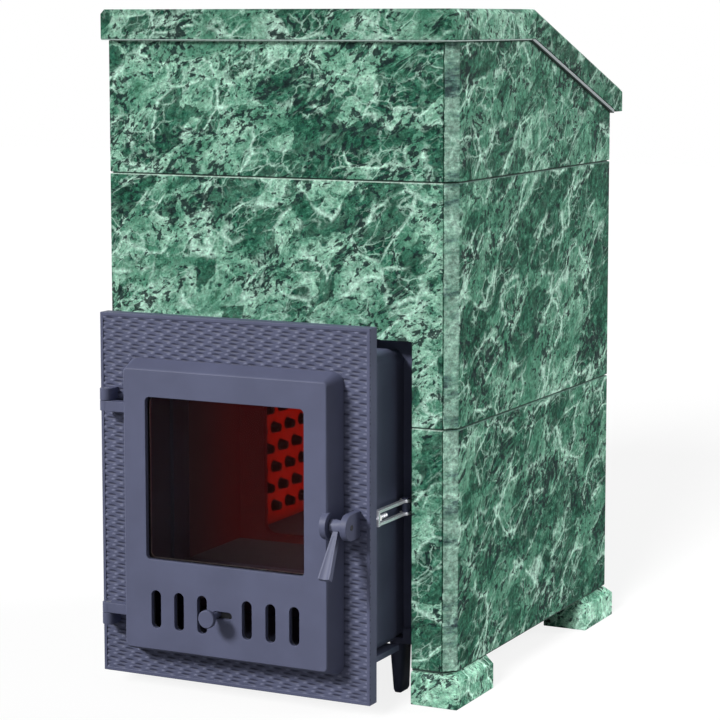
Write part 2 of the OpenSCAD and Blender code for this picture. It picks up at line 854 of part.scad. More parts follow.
// Fire floor on side ledges, with a rebated hole for the grate
module hearth() {
  y0 = firebox_y + firebox_wall + seat_gap;
  y1 = firebox_y1 - firebox_wall - seat_gap;
  x1 = fb_in - seat_gap;
  centred() color(black_c) difference() {
    union() {
      block(-x1, y0, hearth_z - hearth_t, x1, y1, hearth_z);
      for (s = [-1, 1]) block(s * x1 - (s > 0 ? 14 : 0), y0, shell_z,
        s * x1 + (s > 0 ? 0 : 14), y1, hearth_z - hearth_t + eps);
    }
    block(-grate_w / 2 + grate_seat, grate_y + grate_seat, hearth_z - hearth_t - 1,
      grate_w / 2 - grate_seat, grate_y + grate_l - grate_seat, hearth_z + 1);
    block(-grate_w / 2 - 1, grate_y - 1, hearth_z - 7,
      grate_w / 2 + 1, grate_y + grate_l + 1, hearth_z + 1);
  }
}

// Cast grate with long bars
module grate() {
  gap = (grate_w - 30) / grate_bars;
  centred() color(black_c) difference() {
    block(-grate_w / 2, grate_y, hearth_z - 7, grate_w / 2, grate_y + grate_l, hearth_z + 3);
    for (i = [0 : grate_bars - 1], h = [0, 1])
      block(-grate_w / 2 + 15 + i * gap + gap * 0.25,
        grate_y + 16 + h * (grate_l - 32) * 0.52, hearth_z - 8,
        -grate_w / 2 + 15 + i * gap + gap * 0.75,
        grate_y + 16 + (grate_l - 32) * (0.48 + h * 0.52), hearth_z + 4);
  }
}

// Vestibule lining that narrows to the mouth of the fire chamber
module inner_mouth() {
  y0 = firebox_y + firebox_wall + seat_gap;
  z1 = baffle_z - 0.3;
  x1 = fb_in - seat_gap;
  centred() color(black_c) difference() {
    union() {
      block(-x1, mouth_y, hearth_z, x1, mouth_y + 12, z1);
      for (s = [-1, 1]) block(s * vest_x - (s > 0 ? 0 : lining_t), y0, hearth_z,
        s * vest_x + (s > 0 ? lining_t : 0), mouth_y + eps, z1);
    }
    translate([0, 0, hearth_z + 14]) along_y(mouth_y - 1, mouth_y + 13)
      translate([0, (z1 - hearth_z - 60) / 2]) round_rect(mouth_w, z1 - hearth_z - 60, 18);
  }
}

// Lining plate of the fire chamber with staggered rows of studs
module stud_plate() {
  x1 = fb_in - seat_gap;
  x0 = x1 - lining_t;
  y0 = mouth_y + 12 + seat_gap;
  y1 = firebox_y1 - firebox_wall - seat_gap;
  z0 = hearth_z + seat_gap;
  rows = floor((baffle_z - 20 - z0 - stud_r) / stud_rise);
  cols = floor((y1 - y0 - stud_pitch / 2) / stud_pitch);
  color(fire_c) {
    block(x0, y0, z0, x1, y1, baffle_z - 1);
    for (i = [0 : rows - 1], j = [0 : cols - 1])
      translate([x0 + eps, y0 + stud_pitch * (0.45 + j + (i % 2) / 2),
        z0 + stud_r + 22 + i * stud_rise])
        rotate([0, -90, 0]) cylinder(r1 = stud_r, r2 = stud_r * 0.7, h = stud_l, $fn = 24);
  }
}

module studs_right() { centred() stud_plate(); }
module studs_left() { centred() left_hand() stud_plate(); }

// Plate under the roof that sends the smoke round the back
module baffle() {
  y0 = firebox_y + firebox_wall + seat_gap;
  x1 = fb_in - seat_gap;
  centred() color(black_c) block(-x1, y0, baffle_z, x1, firebox_y1 - 150, baffle_z + 12);
}

// Open steel box for the heater stones, cut to the slope under the tray
module heater_box() {
  y1 = firebox_y1 - 20;
  top = cap_t + tray_t + 1;
  w = heater_wall;
  centred() color(black_c) difference() {
    along_x([
      [heater_y0, roof_z], [y1, roof_z], [y1, slope_z(y1, top)],
      [heater_y0, slope_z(heater_y0, top)]
    ], -heater_x, heater_x);
    along_x([
      [heater_y0 + w, roof_z + w], [y1 - w, roof_z + w], [y1 - w, z_top], [heater_y0 + w, z_top]
    ], -heater_x + w, heater_x - w);
    on_slope() block(-hatch_w / 2 - 5, hatch_y0 - 5, -cap_t - tray_t - 20,
      hatch_w / 2 + 5, hatch_y1 + 5, 20);
  }
}

// Cast tunnel with a base flange and a shelf level with the fire floor
module tunnel() {
  y0 = -standoff;
  centred() color(iron_c) {
    along_y(y0, tunnel_in) tube_section(tunnel_w, tunnel_top, tunnel_wall);
    block(-tunnel_w / 2 + 2, y0, hearth_z - hearth_t, tunnel_w / 2 - 2, tunnel_in, hearth_z);
    block(-tunnel_w / 2 - 8, y0, leg_h, tunnel_w / 2 + 8, tunnel_in - 5, tunnel_z + eps);
  }
}

// Portal plate: plain rim, sunk field, flat seat for the door, hinge lugs and latch ear
module portal() {
  x1 = portal_w / 2;
  zc = portal_z + portal_h / 2;
  centred() color(iron_c) difference() {
    union() {
      difference() {
        block(-x1, portal_y, portal_z, x1, -standoff, portal_z + portal_h);
        block(-x1 + rim_w, portal_y - 1, portal_z + rim_w,
          x1 - rim_w, portal_y + field_sink, portal_z + portal_h - rim_w);
      }
      translate([door_x, 0, door_cz]) along_y(portal_y, portal_y + field_sink + 1)
        round_rect(door_w + 2 * door_flare - 2, door_h + 2 * door_flare - 2, 14);
      for (z = [hinge_top_z + 0.5, hinge_low_z - lug_h])
        knuckle_lug(z);
      frame_ear();
      for (s = [-1, 1]) rod_y(9, -standoff - 1, -standoff + 12, s * tie_x, tie_z);
    }
    translate([door_x, 0, door_cz]) along_y(portal_y - 1, 0) round_rect(seat_w, seat_h, 12);
    for (z = [hinge_top_z - 1, hinge_low_z - lug_h - 1])
      translate([hinge_x, hinge_y, z]) cylinder(r = hinge_pin_r + pin_gap, h = lug_h + 3);
    rod_x(latch_pin_r + pin_gap, frame_ear_x - 1, frame_ear_x + ear_t + 1, latch_y, latch_z);
    for (s = [-1, 1])
      rod_y(tie_stud_r + pin_gap, -standoff - 10, -standoff + 13, s * tie_x, tie_z);
  }
}

// Half of a hinge knuckle rooted in the frame
module knuckle_lug(z) {
  translate([hinge_x, hinge_y, z]) cylinder(r = knuckle_r, h = lug_h);
  block(hinge_x - knuckle_r, hinge_y, z, hinge_x + knuckle_r, portal_y + field_sink + 1, z + lug_h);
}

// Ear of the latch: a D standing on the frame, or a disc half sunk in the door's side
module ear(x) {
  rod_x(ear_r, x, x + ear_t, latch_y, latch_z);
}

module frame_ear() {
  ear(frame_ear_x);
  block(frame_ear_x, latch_y, latch_z - ear_r,
    frame_ear_x + ear_t, portal_y + field_sink + 1, latch_z + ear_r);
}

// U-shaped yoke hooked on the firebox boss
module yoke() {
  z0 = tie_z - tie_gap / 2;
  z1 = tie_z + tie_gap / 2;
  color(steel_c) difference() {
    union() {
      for (z = [z0, z1]) {
        block(tie_x - 4, tie_y, z - 2.5, tie_x + 4, tie_eye_y, z + 2.5);
        translate([tie_x, tie_eye_y, z - 2.5]) cylinder(r = 10, h = 5);
      }
      block(tie_x - 6, tie_y - 3, z0 - 2.5, tie_x + 6, tie_y + 3, z1 + 2.5);
    }
    translate([tie_x, tie_eye_y, z0 - 5]) cylinder(r = 6 + pin_gap, h = tie_gap + 10);
    rod_y(tie_stud_r + pin_gap, tie_y - 5, tie_y + 5, tie_x, tie_z);
  }
}

// Threaded stud of the tie with its nut
module tie_stud() {
  color(steel_c) {
    rod_y(tie_stud_r, -standoff - 9, tie_y + 36, tie_x, tie_z);
    translate([tie_x, tie_y + 3.1, tie_z]) rotate([-90, 0, 0]) cylinder(r = 7, h = 6, $fn = 6);
  }
}

module yoke_right() { centred() yoke(); }
module yoke_left() { centred() left_hand() yoke(); }
module tie_stud_right() { centred() tie_stud(); }
module tie_stud_left() { centred() left_hand() tie_stud(); }

module hinge_pin_upper() {
  centred() color(steel_c) translate([hinge_x, hinge_y, hinge_top_z - arm_h])
    cylinder(r = hinge_pin_r, h = arm_h + 0.5 + lug_h);
}

module hinge_pin_lower() {
  centred() color(steel_c) translate([hinge_x, hinge_y, hinge_low_z - lug_h])
    cylinder(r = hinge_pin_r, h = arm_h + 0.5 + lug_h);
}

// Stub in the frame's ear that the handle hooks behind
module keeper_pin() {
  centred() color(steel_c)
    rod_x(latch_pin_r, hub_step + 1, frame_ear_x + ear_t, latch_y, latch_z);
}

// Block whose front face is w by h at y = 0 and whose sides flare towards the back
module flared_block(w, h, depth, flare, r, edge) {
  hull() for (sx = [-1, 1], sz = [-1, 1])
    translate([sx * (w / 2 - r), 0, sz * (h / 2 - r)]) rotate([-90, 0, 0]) {
      cylinder(r1 = r - edge, r2 = r, h = edge, $fn = 32);
      translate([0, 0, edge]) cylinder(r1 = r, r2 = r + flare, h = depth - edge, $fn = 32);
    }
}

// Hinge arm of the door: knuckle and a bar into the door's side
module door_arm(z) {
  translate([hinge_x, hinge_y, z]) cylinder(r = knuckle_r, h = arm_h);
  block(hinge_x, hinge_y - knuckle_r + 1, z, door_x - door_w / 2 + 2, hinge_y + 7, z + arm_h);
}

// Cast door: flared sides, window, air slots, rope channel, slider guides, arms and ear
module door() {
  in_h = door_h - 14;
  rib_y = portal_y - door_gap - 4;
  centred() color(iron_c) difference() {
    union() {
      difference() {
        union() {
          translate([door_x, door_y, door_cz])
            flared_block(door_w, door_h, door_d, door_flare, door_r, door_edge);
          ear(door_ear_x);
        }
        translate([door_x, 0, door_cz]) along_y(glass_y, portal_y + 1)
          round_rect(door_in_w, in_h, 6);
        rod_x(hub_r + 2, hub_x0 - 1, hub_x1, latch_y, latch_z);
      }
      translate([door_x, 0, door_cz]) along_y(glass_y - 1, rope_y - rope_r - 0.1) difference() {
        round_rect(door_in_w + 2, in_h + 2, 7);
        round_rect(door_in_w - 4 * rope_r - 4, in_h - 4 * rope_r - 4, 4);
      }
      translate([door_x, 0, door_cz]) along_y(glass_y - 1, rib_y) difference() {
        round_rect(door_in_w - 4 * rope_r - 2, in_h - 4 * rope_r - 2, 5);
        round_rect(door_in_w - 4 * rope_r - 2 - rib_in, in_h - 4 * rope_r - 2 - rib_in, 3);
      }
      for (s = [-1, 1]) slider_guide(s);
      door_arm(hinge_top_z - arm_h);
      door_arm(hinge_low_z + 0.5);
    }
    translate([door_x, 0, window_z + window_h / 2]) along_y(door_y - 1, glass_y + 1)
      round_rect(window_w, window_h, window_r);
    for (x = slot_xs) translate([door_x + x, 0, slot_z]) along_y(door_y - 1, glass_y + 1)
      upright_slot(slot_w, slot_l);
    translate([stem_x + slider_shift / 2, 0, slot_z + 3]) along_y(door_y - 1, glass_y + 1)
      rotate(90) upright_slot(2 * stem_r + 2, slider_shift + 2 * stem_r + 4);
    for (z = [hinge_top_z - arm_h - 1, hinge_low_z - 1])
      translate([hinge_x, hinge_y, z]) cylinder(r = hinge_pin_r + pin_gap, h = arm_h + 3);
    rod_x(latch_pin_r + pin_gap, door_ear_x - 1, door_ear_x + ear_t + 1, latch_y, latch_z);
  }
}

// Lipped rail above or below the slider plate
module slider_guide(s) {
  edge = slot_z + s * (slider_h / 2 + slider_gap);
  lip = slot_z + s * (slider_h / 2 - 4);
  far = edge + s * 6;
  y1 = glass_y + slider_t + 2 * slider_gap;
  block(door_x + slider_x0, glass_y - 1, min(edge, far),
    door_x + slider_x1 + slider_shift, y1 + 3, max(edge, far));
  block(door_x + slider_x0, y1, min(lip, far),
    door_x + slider_x1 + slider_shift, y1 + 3, max(lip, far));
}

// Ceramic glass behind the window
module door_glass() {
  centred() color([0.1, 0.05, 0.05, 0.5])
    translate([door_x, 0, window_z + window_h / 2]) along_y(glass_y, glass_y + glass_t)
      square([window_w + 2 * glass_lap, window_h + 2 * glass_lap], center = true);
}

// Pressed steel ring that clamps the glass
module glass_ring() {
  centred() color(steel_c)
    translate([door_x, 0, window_z + window_h / 2])
      along_y(glass_y + glass_t, glass_y + glass_t + 3) difference() {
        square([window_w + 2 * glass_lap + 4, window_h + 2 * glass_lap + 4], center = true);
        round_rect(window_w - 4, window_h - 4, window_r);
      }
}

// Quarter of a torus for the rope's corners
module rope_corner(r, turn) {
  rotate([0, 0, turn]) rotate_extrude(angle = 90) translate([r, 0]) circle(rope_r, $fn = 24);
}

// Rope seal in the channel round the back of the door
module door_rope() {
  r = 11;
  x = rope_x;
  z = rope_h;
  centred() color([0.85, 0.84, 0.8]) translate([door_x, rope_y, door_cz]) rotate([90, 0, 0]) {
    for (s = [-1, 1]) {
      translate([s * x, -z + r, 0]) rotate([-90, 0, 0])
        cylinder(r = rope_r, h = 2 * (z - r), $fn = 24);
      translate([-x + r, s * z, 0]) rotate([0, 90, 0])
        cylinder(r = rope_r, h = 2 * (x - r), $fn = 24);
    }
    translate([x - r, z - r, 0]) rope_corner(r, 0);
    translate([-x + r, z - r, 0]) rope_corner(r, 90);
    translate([-x + r, -z + r, 0]) rope_corner(r, 180);
    translate([x - r, -z + r, 0]) rope_corner(r, 270);
  }
}

// Thin slice of the groove down the lever's face, w wide and d deep
module lever_groove(w, d) {
  linear_extrude(0.1) polygon([[-w / 2, -1], [w / 2, -1], [w / 2, 0], [0, d], [-w / 2, 0]]);
}

// Pivot pin of the handle, held in the door's ear
module latch_pin() {
  centred() color(steel_c)
    rod_x(latch_pin_r, door_ear_x, hub_step - 0.5, latch_y, latch_z);
}

// Flaring, grooved lever on a square-set hub, whose right half hooks round the keeper pin
module latch_handle() {
  reach = hub_r * 2;
  gap = latch_pin_r + 0.4;
  a = handle_lift;
  xm = (hub_x0 + hub_x1) / 2;
  centred() color(iron_c) translate([0, latch_y, latch_z]) difference() {
    union() {
      translate([hub_x0, 0, 0]) rotate([0, 90, 0]) rotate(22.5)
        cylinder(r = hub_r / cos(22.5), h = hub_x1 - hub_x0, $fn = 8);
      rotate([-handle_lean, 0, 0]) difference() {
        hull() {
          block(xm - 4.5, -5, -hub_r, xm + 4.5, 5, -hub_r + 1);
          block(xm - handle_w / 2, -lever_t / 2, -handle_l,
            xm + handle_w / 2, lever_t / 2, -handle_l + 6);
        }
        hull() {
          translate([xm, -5, -hub_r - 8]) lever_groove(4, 1.2);
          translate([xm, -lever_t / 2, -handle_l - 1]) lever_groove(handle_w * 0.75, 3.5);
        }
      }
    }
    rod_x(latch_pin_r + pin_gap, hub_x0 - 1, hub_step + eps, 0, 0);
    rod_x(gap, hub_step, hub_x1 + 1, 0, 0);
    along_x([
      [0, -gap], [reach, -gap], [reach, reach],
      [reach * cos(a) - gap * sin(a), reach * sin(a) + gap * cos(a)],
      [-gap * sin(a), gap * cos(a)]
    ], hub_step, hub_x1 + 1);
  }
}

// Slotted plate behind the door's air slots
module air_slider() {
  y0 = glass_y + slider_gap;
  centred() color(steel_c) difference() {
    block(door_x + slider_x0, y0, slot_z - slider_h / 2,
      door_x + slider_x1, y0 + slider_t, slot_z + slider_h / 2);
    for (x = slot_xs) translate([door_x + x, 0, slot_z]) along_y(y0 - 1, y0 + slider_t + 1)
      upright_slot(slot_w, slot_l);
    rod_y(stem_r - 1, y0 - 1, y0 + slider_t + 1, stem_x, slot_z + 3);
  }
}

// Turned knob and stem; the stem's spigot is riveted into the plate
module air_knob() {
  y0 = glass_y + slider_gap;
  l = y0 - knob_y;
  centred() color(iron_c) translate([stem_x, y0, slot_z + 3]) rotate([90, 0, 0])
    rotate_extrude() polygon([
      [0, -slider_t], [stem_r - 1, -slider_t], [stem_r - 1, 0], [stem_r, 0],
      [stem_r, l - knob_out + 6], [stem_r + 4, l - 12], [knob_r - 1, l - 9],
      [knob_r, l - 7], [knob_r, l - 2], [knob_r - 1.5, l], [0, l]
    ]);
}

// Folded ash drawer with a finger bail at its front
module ash_drawer() {
  z0 = shell_z + 0.3;
  x1 = drawer_w / 2;
  t = drawer_t;
  centred() color([0.35, 0.35, 0.37]) {
    difference() {
      block(-x1, drawer_y, z0, x1, drawer_y + drawer_l, z0 + drawer_h);
      block(-x1 + t, drawer_y + t, z0 + t, x1 - t, drawer_y + drawer_l - t, z0 + drawer_h + 1);
    }
    for (s = [-1, 1])
      rod_y(3, drawer_y - 18, drawer_y + eps, s * 40, z0 + drawer_h / 2);
    rod_x(3, -43, 43, drawer_y - 18, z0 + drawer_h / 2);
  }
}

front_top();
front_middle();
front_low_left();
front_low_right();
left_top();
left_middle();
left_low();
right_top();
right_middle();
right_low();
back_top();
back_middle();
back_low();
cap_front();
cap_rear();
slope_upper();
slope_lower();
foot_front_left();
foot_front_right();
foot_rear_left();
foot_rear_right();
steel_frame();
slope_tray();
hatch_frame();
hatch_lid();
hatch_pin();
flue_socket();
firebox_front();
firebox_shell();
firebox_roof();
firebox_base();
leg_front_left();
leg_front_right();
leg_rear_left();
leg_rear_right();
hearth();
inner_mouth();
studs_left();
studs_right();
baffle();
grate();
heater_box();
tunnel();
portal();
yoke_left();
yoke_right();
tie_stud_left();
tie_stud_right();
hinge_pin_upper();
hinge_pin_lower();
keeper_pin();
door();
door_glass();
glass_ring();
door_rope();
latch_pin();
latch_handle();
air_slider();
air_knob();
ash_drawer();
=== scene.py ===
import math

import bmesh
import bpy
from mathutils import Matrix, Vector


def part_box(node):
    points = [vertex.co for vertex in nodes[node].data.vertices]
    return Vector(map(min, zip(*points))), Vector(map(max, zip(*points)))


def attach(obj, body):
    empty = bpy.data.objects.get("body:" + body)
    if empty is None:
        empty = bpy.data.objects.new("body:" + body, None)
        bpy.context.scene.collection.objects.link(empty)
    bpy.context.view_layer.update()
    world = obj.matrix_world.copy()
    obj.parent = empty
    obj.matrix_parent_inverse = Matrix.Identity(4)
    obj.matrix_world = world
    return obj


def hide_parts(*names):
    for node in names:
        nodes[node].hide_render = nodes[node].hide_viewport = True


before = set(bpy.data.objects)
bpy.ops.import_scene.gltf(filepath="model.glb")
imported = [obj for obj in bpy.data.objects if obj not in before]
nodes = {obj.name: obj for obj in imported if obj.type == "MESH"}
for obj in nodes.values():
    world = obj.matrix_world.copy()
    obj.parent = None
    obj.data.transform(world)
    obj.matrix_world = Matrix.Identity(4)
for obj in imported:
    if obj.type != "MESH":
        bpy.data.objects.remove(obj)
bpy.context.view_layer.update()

MM = 0.001
stone_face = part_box("front_top")[0].y
portal_low, portal_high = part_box("portal")
mouth_low, mouth_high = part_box("inner_mouth")

# The frame's sunk field lies this far in front of the cladding
FIELD_OUT = 0.153
portal_field = stone_face - FIELD_OUT

# Its woven relief: rows 6.2 mm high, in which each strand shows for 31.3 mm. Rows of the three
# kinds start 0, 9 and 7 of the 17 steps along, which is kind * (lead - fall * kind)
WEAVE_ROW = 0.0062
WEAVE_STRAND = 0.0313
WEAVE_STEPS = 17
WEAVE_KINDS = 3
WEAVE_LEAD = 14.5
WEAVE_FALL = 5.5


# Nodes that the finishes and the grown pieces share


def ink(code):
    """sRGB hex to the linear colour that the shaders take."""
    parts = [int(code[i:i + 2], 16) / 255 for i in (1, 3, 5)]
    return tuple(c / 12.92 if c <= 0.04045 else ((c + 0.055) / 1.055) ** 2.4
                 for c in parts) + (1.0,)


def per(mm):
    """Scale that makes one cell of a pattern this many millimetres wide."""
    return 1000.0 / mm


def put(tree, kind, settings=None, inputs=None, out=0):
    """Adds a node with its settings and links, and returns one of its outputs."""
    node = tree.nodes.new(kind)
    for key, value in (settings or {}).items():
        if key == "stops":
            ramp = node.color_ramp
            while len(ramp.elements) < len(value):
                ramp.elements.new(1.0)
            for element, (place, code) in zip(ramp.elements, value):
                element.position = place
                element.color = ink(code)
        else:
            setattr(node, key, value)
    for key, value in (inputs or {}).items():
        if isinstance(value, bpy.types.NodeSocket):
            tree.links.new(value, node.inputs[key])
        else:
            node.inputs[key].default_value = value
    return node.outputs[out] if node.outputs else None


def calc(tree, operation, *values):
    """One step of arithmetic on numbers or outputs."""
    return put(tree, "ShaderNodeMath", {"operation": operation}, dict(enumerate(values)))


def axis(tree, vector, letter):
    return put(tree, "ShaderNodeSeparateXYZ", {}, {0: vector}, out=letter)


def span(tree, value, start, end, low=0.0, high=1.0, soft=False):
    """Maps start to low and end to high and stops there, in a straight line or an S-curve."""
    curve = "SMOOTHSTEP" if soft else "LINEAR"
    return put(tree, "ShaderNodeMapRange", {"interpolation_type": curve},
               {"Value": value, "From Min": start, "From Max": end, "To Min": low, "To Max": high})


def noise(tree, vector, mm, detail, rough=0.5, out=0):
    """Noise whose largest patches are about this many millimetres wide."""
    return put(tree, "ShaderNodeTexNoise", {},
               {"Vector": vector, "Scale": per(mm), "Detail": detail, "Roughness": rough}, out)


def ramp(tree, value, *stops):
    """Colours at their places from 0 to 1."""
    return put(tree, "ShaderNodeValToRGB", {"stops": stops}, {0: value})


def blend(tree, share, under, over):
    return put(tree, "ShaderNodeMix", {"data_type": "RGBA"}, {0: share, 6: under, 7: over}, out=2)


def scaled(tree, colour, light):
    return put(tree, "ShaderNodeVectorMath", {"operation": "SCALE"}, {0: colour, "Scale": light})


def stretched(tree, vector, factors):
    return put(tree, "ShaderNodeVectorMath", {"operation": "MULTIPLY"}, {0: vector, 1: factors})


def pushed(tree, vector, waves, metres):
    """The place that a colour noise moves each point to."""
    return put(tree, "ShaderNodeVectorMath", {"operation": "MULTIPLY_ADD"},
               {0: waves, 1: (metres, metres, metres), 2: vector})


def bump(tree, height, strength, metres):
    return put(tree, "ShaderNodeBump", {},
               {"Height": height, "Strength": strength, "Distance": metres})


def new_finish(name):
    finish = bpy.data.materials.new(name)
    finish.use_nodes = True
    finish.node_tree.nodes.clear()
    return finish, finish.node_tree


def close_finish(tree, kind, inputs):
    """The shader of the given kind, as the surface of its material."""
    shader = put(tree, kind, {}, inputs)
    put(tree, "ShaderNodeOutputMaterial", {}, {"Surface": shader})


# Stone


def serpentine(name, shift, grain, turn, fibre=0.0, deep=0.0, arris_shading=None, tone=1.0):
    """Serpentine marble, sawn and satin polished: a finely mottled sea-green ground, darker green
    zones and fragments edged with pale veins, and blackish grains.

    Shift, grain and turn place, stretch and turn the pattern. Fibre is how far the fibres of a
    cross cut stand out, deep how much further the dark zones and fragments spread (painted shade
    on the slope, and below zero painted light on the feet), arris the share and the colour painted
    on the upward-facing edges, pale as a highlight on the front slabs and dull as shade on the side
    slabs, and tone how light the slab is (also painted shade on the slope and painted light on the
    feet)."""
    finish, t = new_finish(name)
    spot = put(t, "ShaderNodeTexCoord", out="Object")
    # The chamfered corner cuts through the bedding, which crosses it in level bands
    facing = put(t, "ShaderNodeNewGeometry", out="True Normal")
    side = calc(t, "ABSOLUTE", axis(t, facing, "X"))
    both = calc(t, "MULTIPLY", side, axis(t, facing, "Y"))
    chamfer = span(t, both, -0.40, -0.48, 0.0, 0.6)
    beds = stretched(t, spot, (0.25, 0.25, 1.0))
    p = put(t, "ShaderNodeMapping", {"vector_type": "TEXTURE"},
            {"Vector": spot, "Location": shift, "Rotation": turn, "Scale": grain})
    bend = noise(t, p, 80, 2.0, out="Color")
    q = pushed(t, p, bend, 0.055)
    crumple = noise(t, p, 13, 4.0, 0.75, out="Color")
    w = pushed(t, q, crumple, 0.011)

    # Ground, mottled from 45 mm down to single crystals
    cloud = noise(t, w, 45, 6.0, 0.78)
    colour = ramp(t, cloud, (0.34, "#3C7058"), (0.43, "#5C917A"), (0.51, "#7FAF98"),
                  (0.59, "#9AC6B0"), (0.70, "#B6DAC8"))

    # Darker green zones, 60 to 150 mm, with soft borders
    zone = noise(t, w, 120, 5.0, 0.62)
    zoned = span(t, zone, 0.50 - deep, 0.60 - deep, 0.0, 0.72, soft=True)
    colour = blend(t, zoned, colour, ink("#3C765E"))

    # Dark fragments with sharp borders, 25 to 80 mm, streaked inside
    streak = noise(t, w, 14, 4.0, 0.75)
    dark = ramp(t, streak, (0.34, "#102A24"), (0.47, "#1C4637"), (0.58, "#316A54"),
                (0.70, "#639982"))
    fray = noise(t, w, 24, 5.0, 0.7)
    for cell, low in ((78, 1.13 - deep), (34, 1.22 - deep)):
        lot = put(t, "ShaderNodeTexVoronoi", {}, {"Vector": w, "Scale": per(cell)}, out="Color")
        chance = put(t, "ShaderNodeSeparateColor", {}, {0: lot})
        ragged = calc(t, "MULTIPLY_ADD", fray, 0.9, chance)
        broken = span(t, ragged, low, low + 0.06, 0.0, 0.86, soft=True)
        colour = blend(t, broken, colour, dark)

    # Flecks of dark serpentine, 3 to 7 mm, all through the ground
    fleck = noise(t, q, 9, 3.0, 0.7)
    flecked = span(t, fleck, 0.44, 0.36, 0.0, 0.82, soft=True)
    colour = blend(t, flecked, colour, ink("#27584A"))

    # Pale veins, 2 to 6 mm, round the fragments and through the ground, that fade in and out
    patchy = noise(t, q, 48, 3.0)
    shown = span(t, patchy, 0.42, 0.58, soft=True)
    for cell, width, strength in ((78, 0.055, 0.95), (34, 0.06, 0.6), (15, 0.09, 0.3)):
        seam = put(t, "ShaderNodeTexVoronoi", {"feature": "DISTANCE_TO_EDGE"},
                   {"Vector": w, "Scale": per(cell)})
        vein = span(t, seam, width, 0.0, 0.0, strength, soft=True)
        vein = calc(t, "MULTIPLY", vein, shown)
        colour = blend(t, vein, colour, ink("#B4DAC8"))

    # Blackish grains, 3 to 8 mm, loosely gathered
    grains = noise(t, q, 10, 3.0, 0.6)
    herd = noise(t, p, 70, 1.0)
    crowd = calc(t, "MULTIPLY_ADD", herd, 0.42, grains)
    black = span(t, crowd, 0.768, 0.832, 0.0, 0.92, soft=True)
    colour = blend(t, black, colour, ink("#1E2C2D"))

    # Level beds on the chamfer, 3 to 15 mm
    bed = noise(t, beds, 30, 4.0, 0.72)
    layer = ramp(t, bed, (0.35, "#46545A"), (0.39, "#6C8A86"), (0.45, "#84AD9B"),
                 (0.55, "#B4DAC8"), (0.68, "#8CB4A4"))
    colour = blend(t, chamfer, colour, layer)

    if arris_shading:
        # Upward-facing arrises take the given colour: a painted highlight on the front slabs,
        # painted shade on the side slabs
        share, ground = arris_shading
        up = span(t, axis(t, facing, "Z"), 0.15, 0.3, 0.0, share)
        colour = blend(t, up, colour, ink(ground))

    # Mottling of the crystals, and on sawn cross cuts the fibres that stand in them
    mottle = noise(t, spot, 8, 3.0, 0.8)
    shade = span(t, mottle, 0.32, 0.68, 0.50 * tone, 1.46 * tone)
    if fibre:
        thread = stretched(t, spot, (1.0, 1.0, 0.16))
        thread = noise(t, thread, 5, 2.0, 0.6)
        thread = span(t, thread, 0.32, 0.68, -fibre, fibre)
        flat = calc(t, "SUBTRACT", 1.0, chamfer)
        thread = calc(t, "MULTIPLY_ADD", thread, flat, 1.0)
        shade = calc(t, "MULTIPLY", shade, thread)
    colour = scaled(t, colour, shade)
    shine = span(t, mottle, 0.3, 0.7, 0.55, 0.42)
    pits = bump(t, mottle, 0.15, 0.0003)
    close_finish(t, "ShaderNodeBsdfPrincipled",
                 {"Base Color": colour, "Roughness": shine, "Specular IOR Level": 0.03,
                  "Normal": pits})
    return finish


# The pattern on the slabs that face front or back, and on the cross cuts that face sideways
FACE = {"grain": (1.3, 1.0, 0.85), "turn": (0.0, math.radians(-32), 0.0)}
CUT = {"grain": (1.0, 1.5, 0.9), "turn": (math.radians(30), 0.0, 0.0)}
# The front slabs' arrises get a pale painted highlight, and those of the darker side slabs a dull
# painted shade
FRONT = {**FACE, "arris_shading": (0.8, "#B8D3C5"), "tone": 1.14}
SIDE = {**CUT, "fibre": 0.15, "deep": 0.11, "arris_shading": (0.75, "#5C7A70")}
stone_front_upper = serpentine("serpentine_front_upper", (0.31, 0.12, 0.07), **FRONT)
stone_front = serpentine("serpentine_front", (0.02, 0.40, 0.22), **FRONT)
stone_side_upper = serpentine("serpentine_side_upper", (0.55, 0.21, 0.40), **SIDE)
stone_side_middle = serpentine("serpentine_side_middle", (0.13, 0.02, 0.61), **SIDE)
stone_side_low = serpentine("serpentine_side_low", (0.91, 0.33, 0.15), **SIDE)
stone_back = serpentine("serpentine_back", (0.42, 0.77, 0.36), **FACE)
stone_cap = serpentine("serpentine_cap", (0.70, 0.55, 0.84), **FACE, deep=0.02)
# The slope is set darker and the feet paler by deep and tone: painted shade on the slope, painted
# light on the feet
stone_slope = serpentine("serpentine_slope", (0.25, 0.66, 0.19), **CUT, deep=0.08, tone=0.85)
stone_feet = serpentine("serpentine_feet", (0.47, 0.38, 0.66), **FACE, deep=-0.14, tone=1.35)


# Iron, steel, glass and rope


def weave(tree, u, v):
    """Where a strand, u along and v up its cell, dives beside a dark crescent, and where it rises
    in a small knuckle."""
    run = span(tree, u, 0.21, 0.97)
    arc = calc(tree, "MULTIPLY", run, math.pi)
    arc = calc(tree, "SINE", arc)
    middle = span(tree, run, 0.0, 1.0, 0.52, 0.34)
    away = calc(tree, "SUBTRACT", v, middle)
    away = calc(tree, "ABSOLUTE", away)
    deep = calc(tree, "MULTIPLY", arc, 0.42)
    deep = calc(tree, "SUBTRACT", deep, away)
    crescent = span(tree, deep, 0.0, 0.28, soft=True)
    level_u = calc(tree, "MULTIPLY_ADD", u, 5.0, -1.2)
    level_v = calc(tree, "MULTIPLY_ADD", v, 2.2, -1.2)
    place = put(tree, "ShaderNodeCombineXYZ", {}, {0: level_u, 1: level_v})
    off = put(tree, "ShaderNodeVectorMath", {"operation": "LENGTH"}, {0: place}, out="Value")
    knuckle = span(tree, off, 1.0, 0.1, soft=True)
    return crescent, knuckle


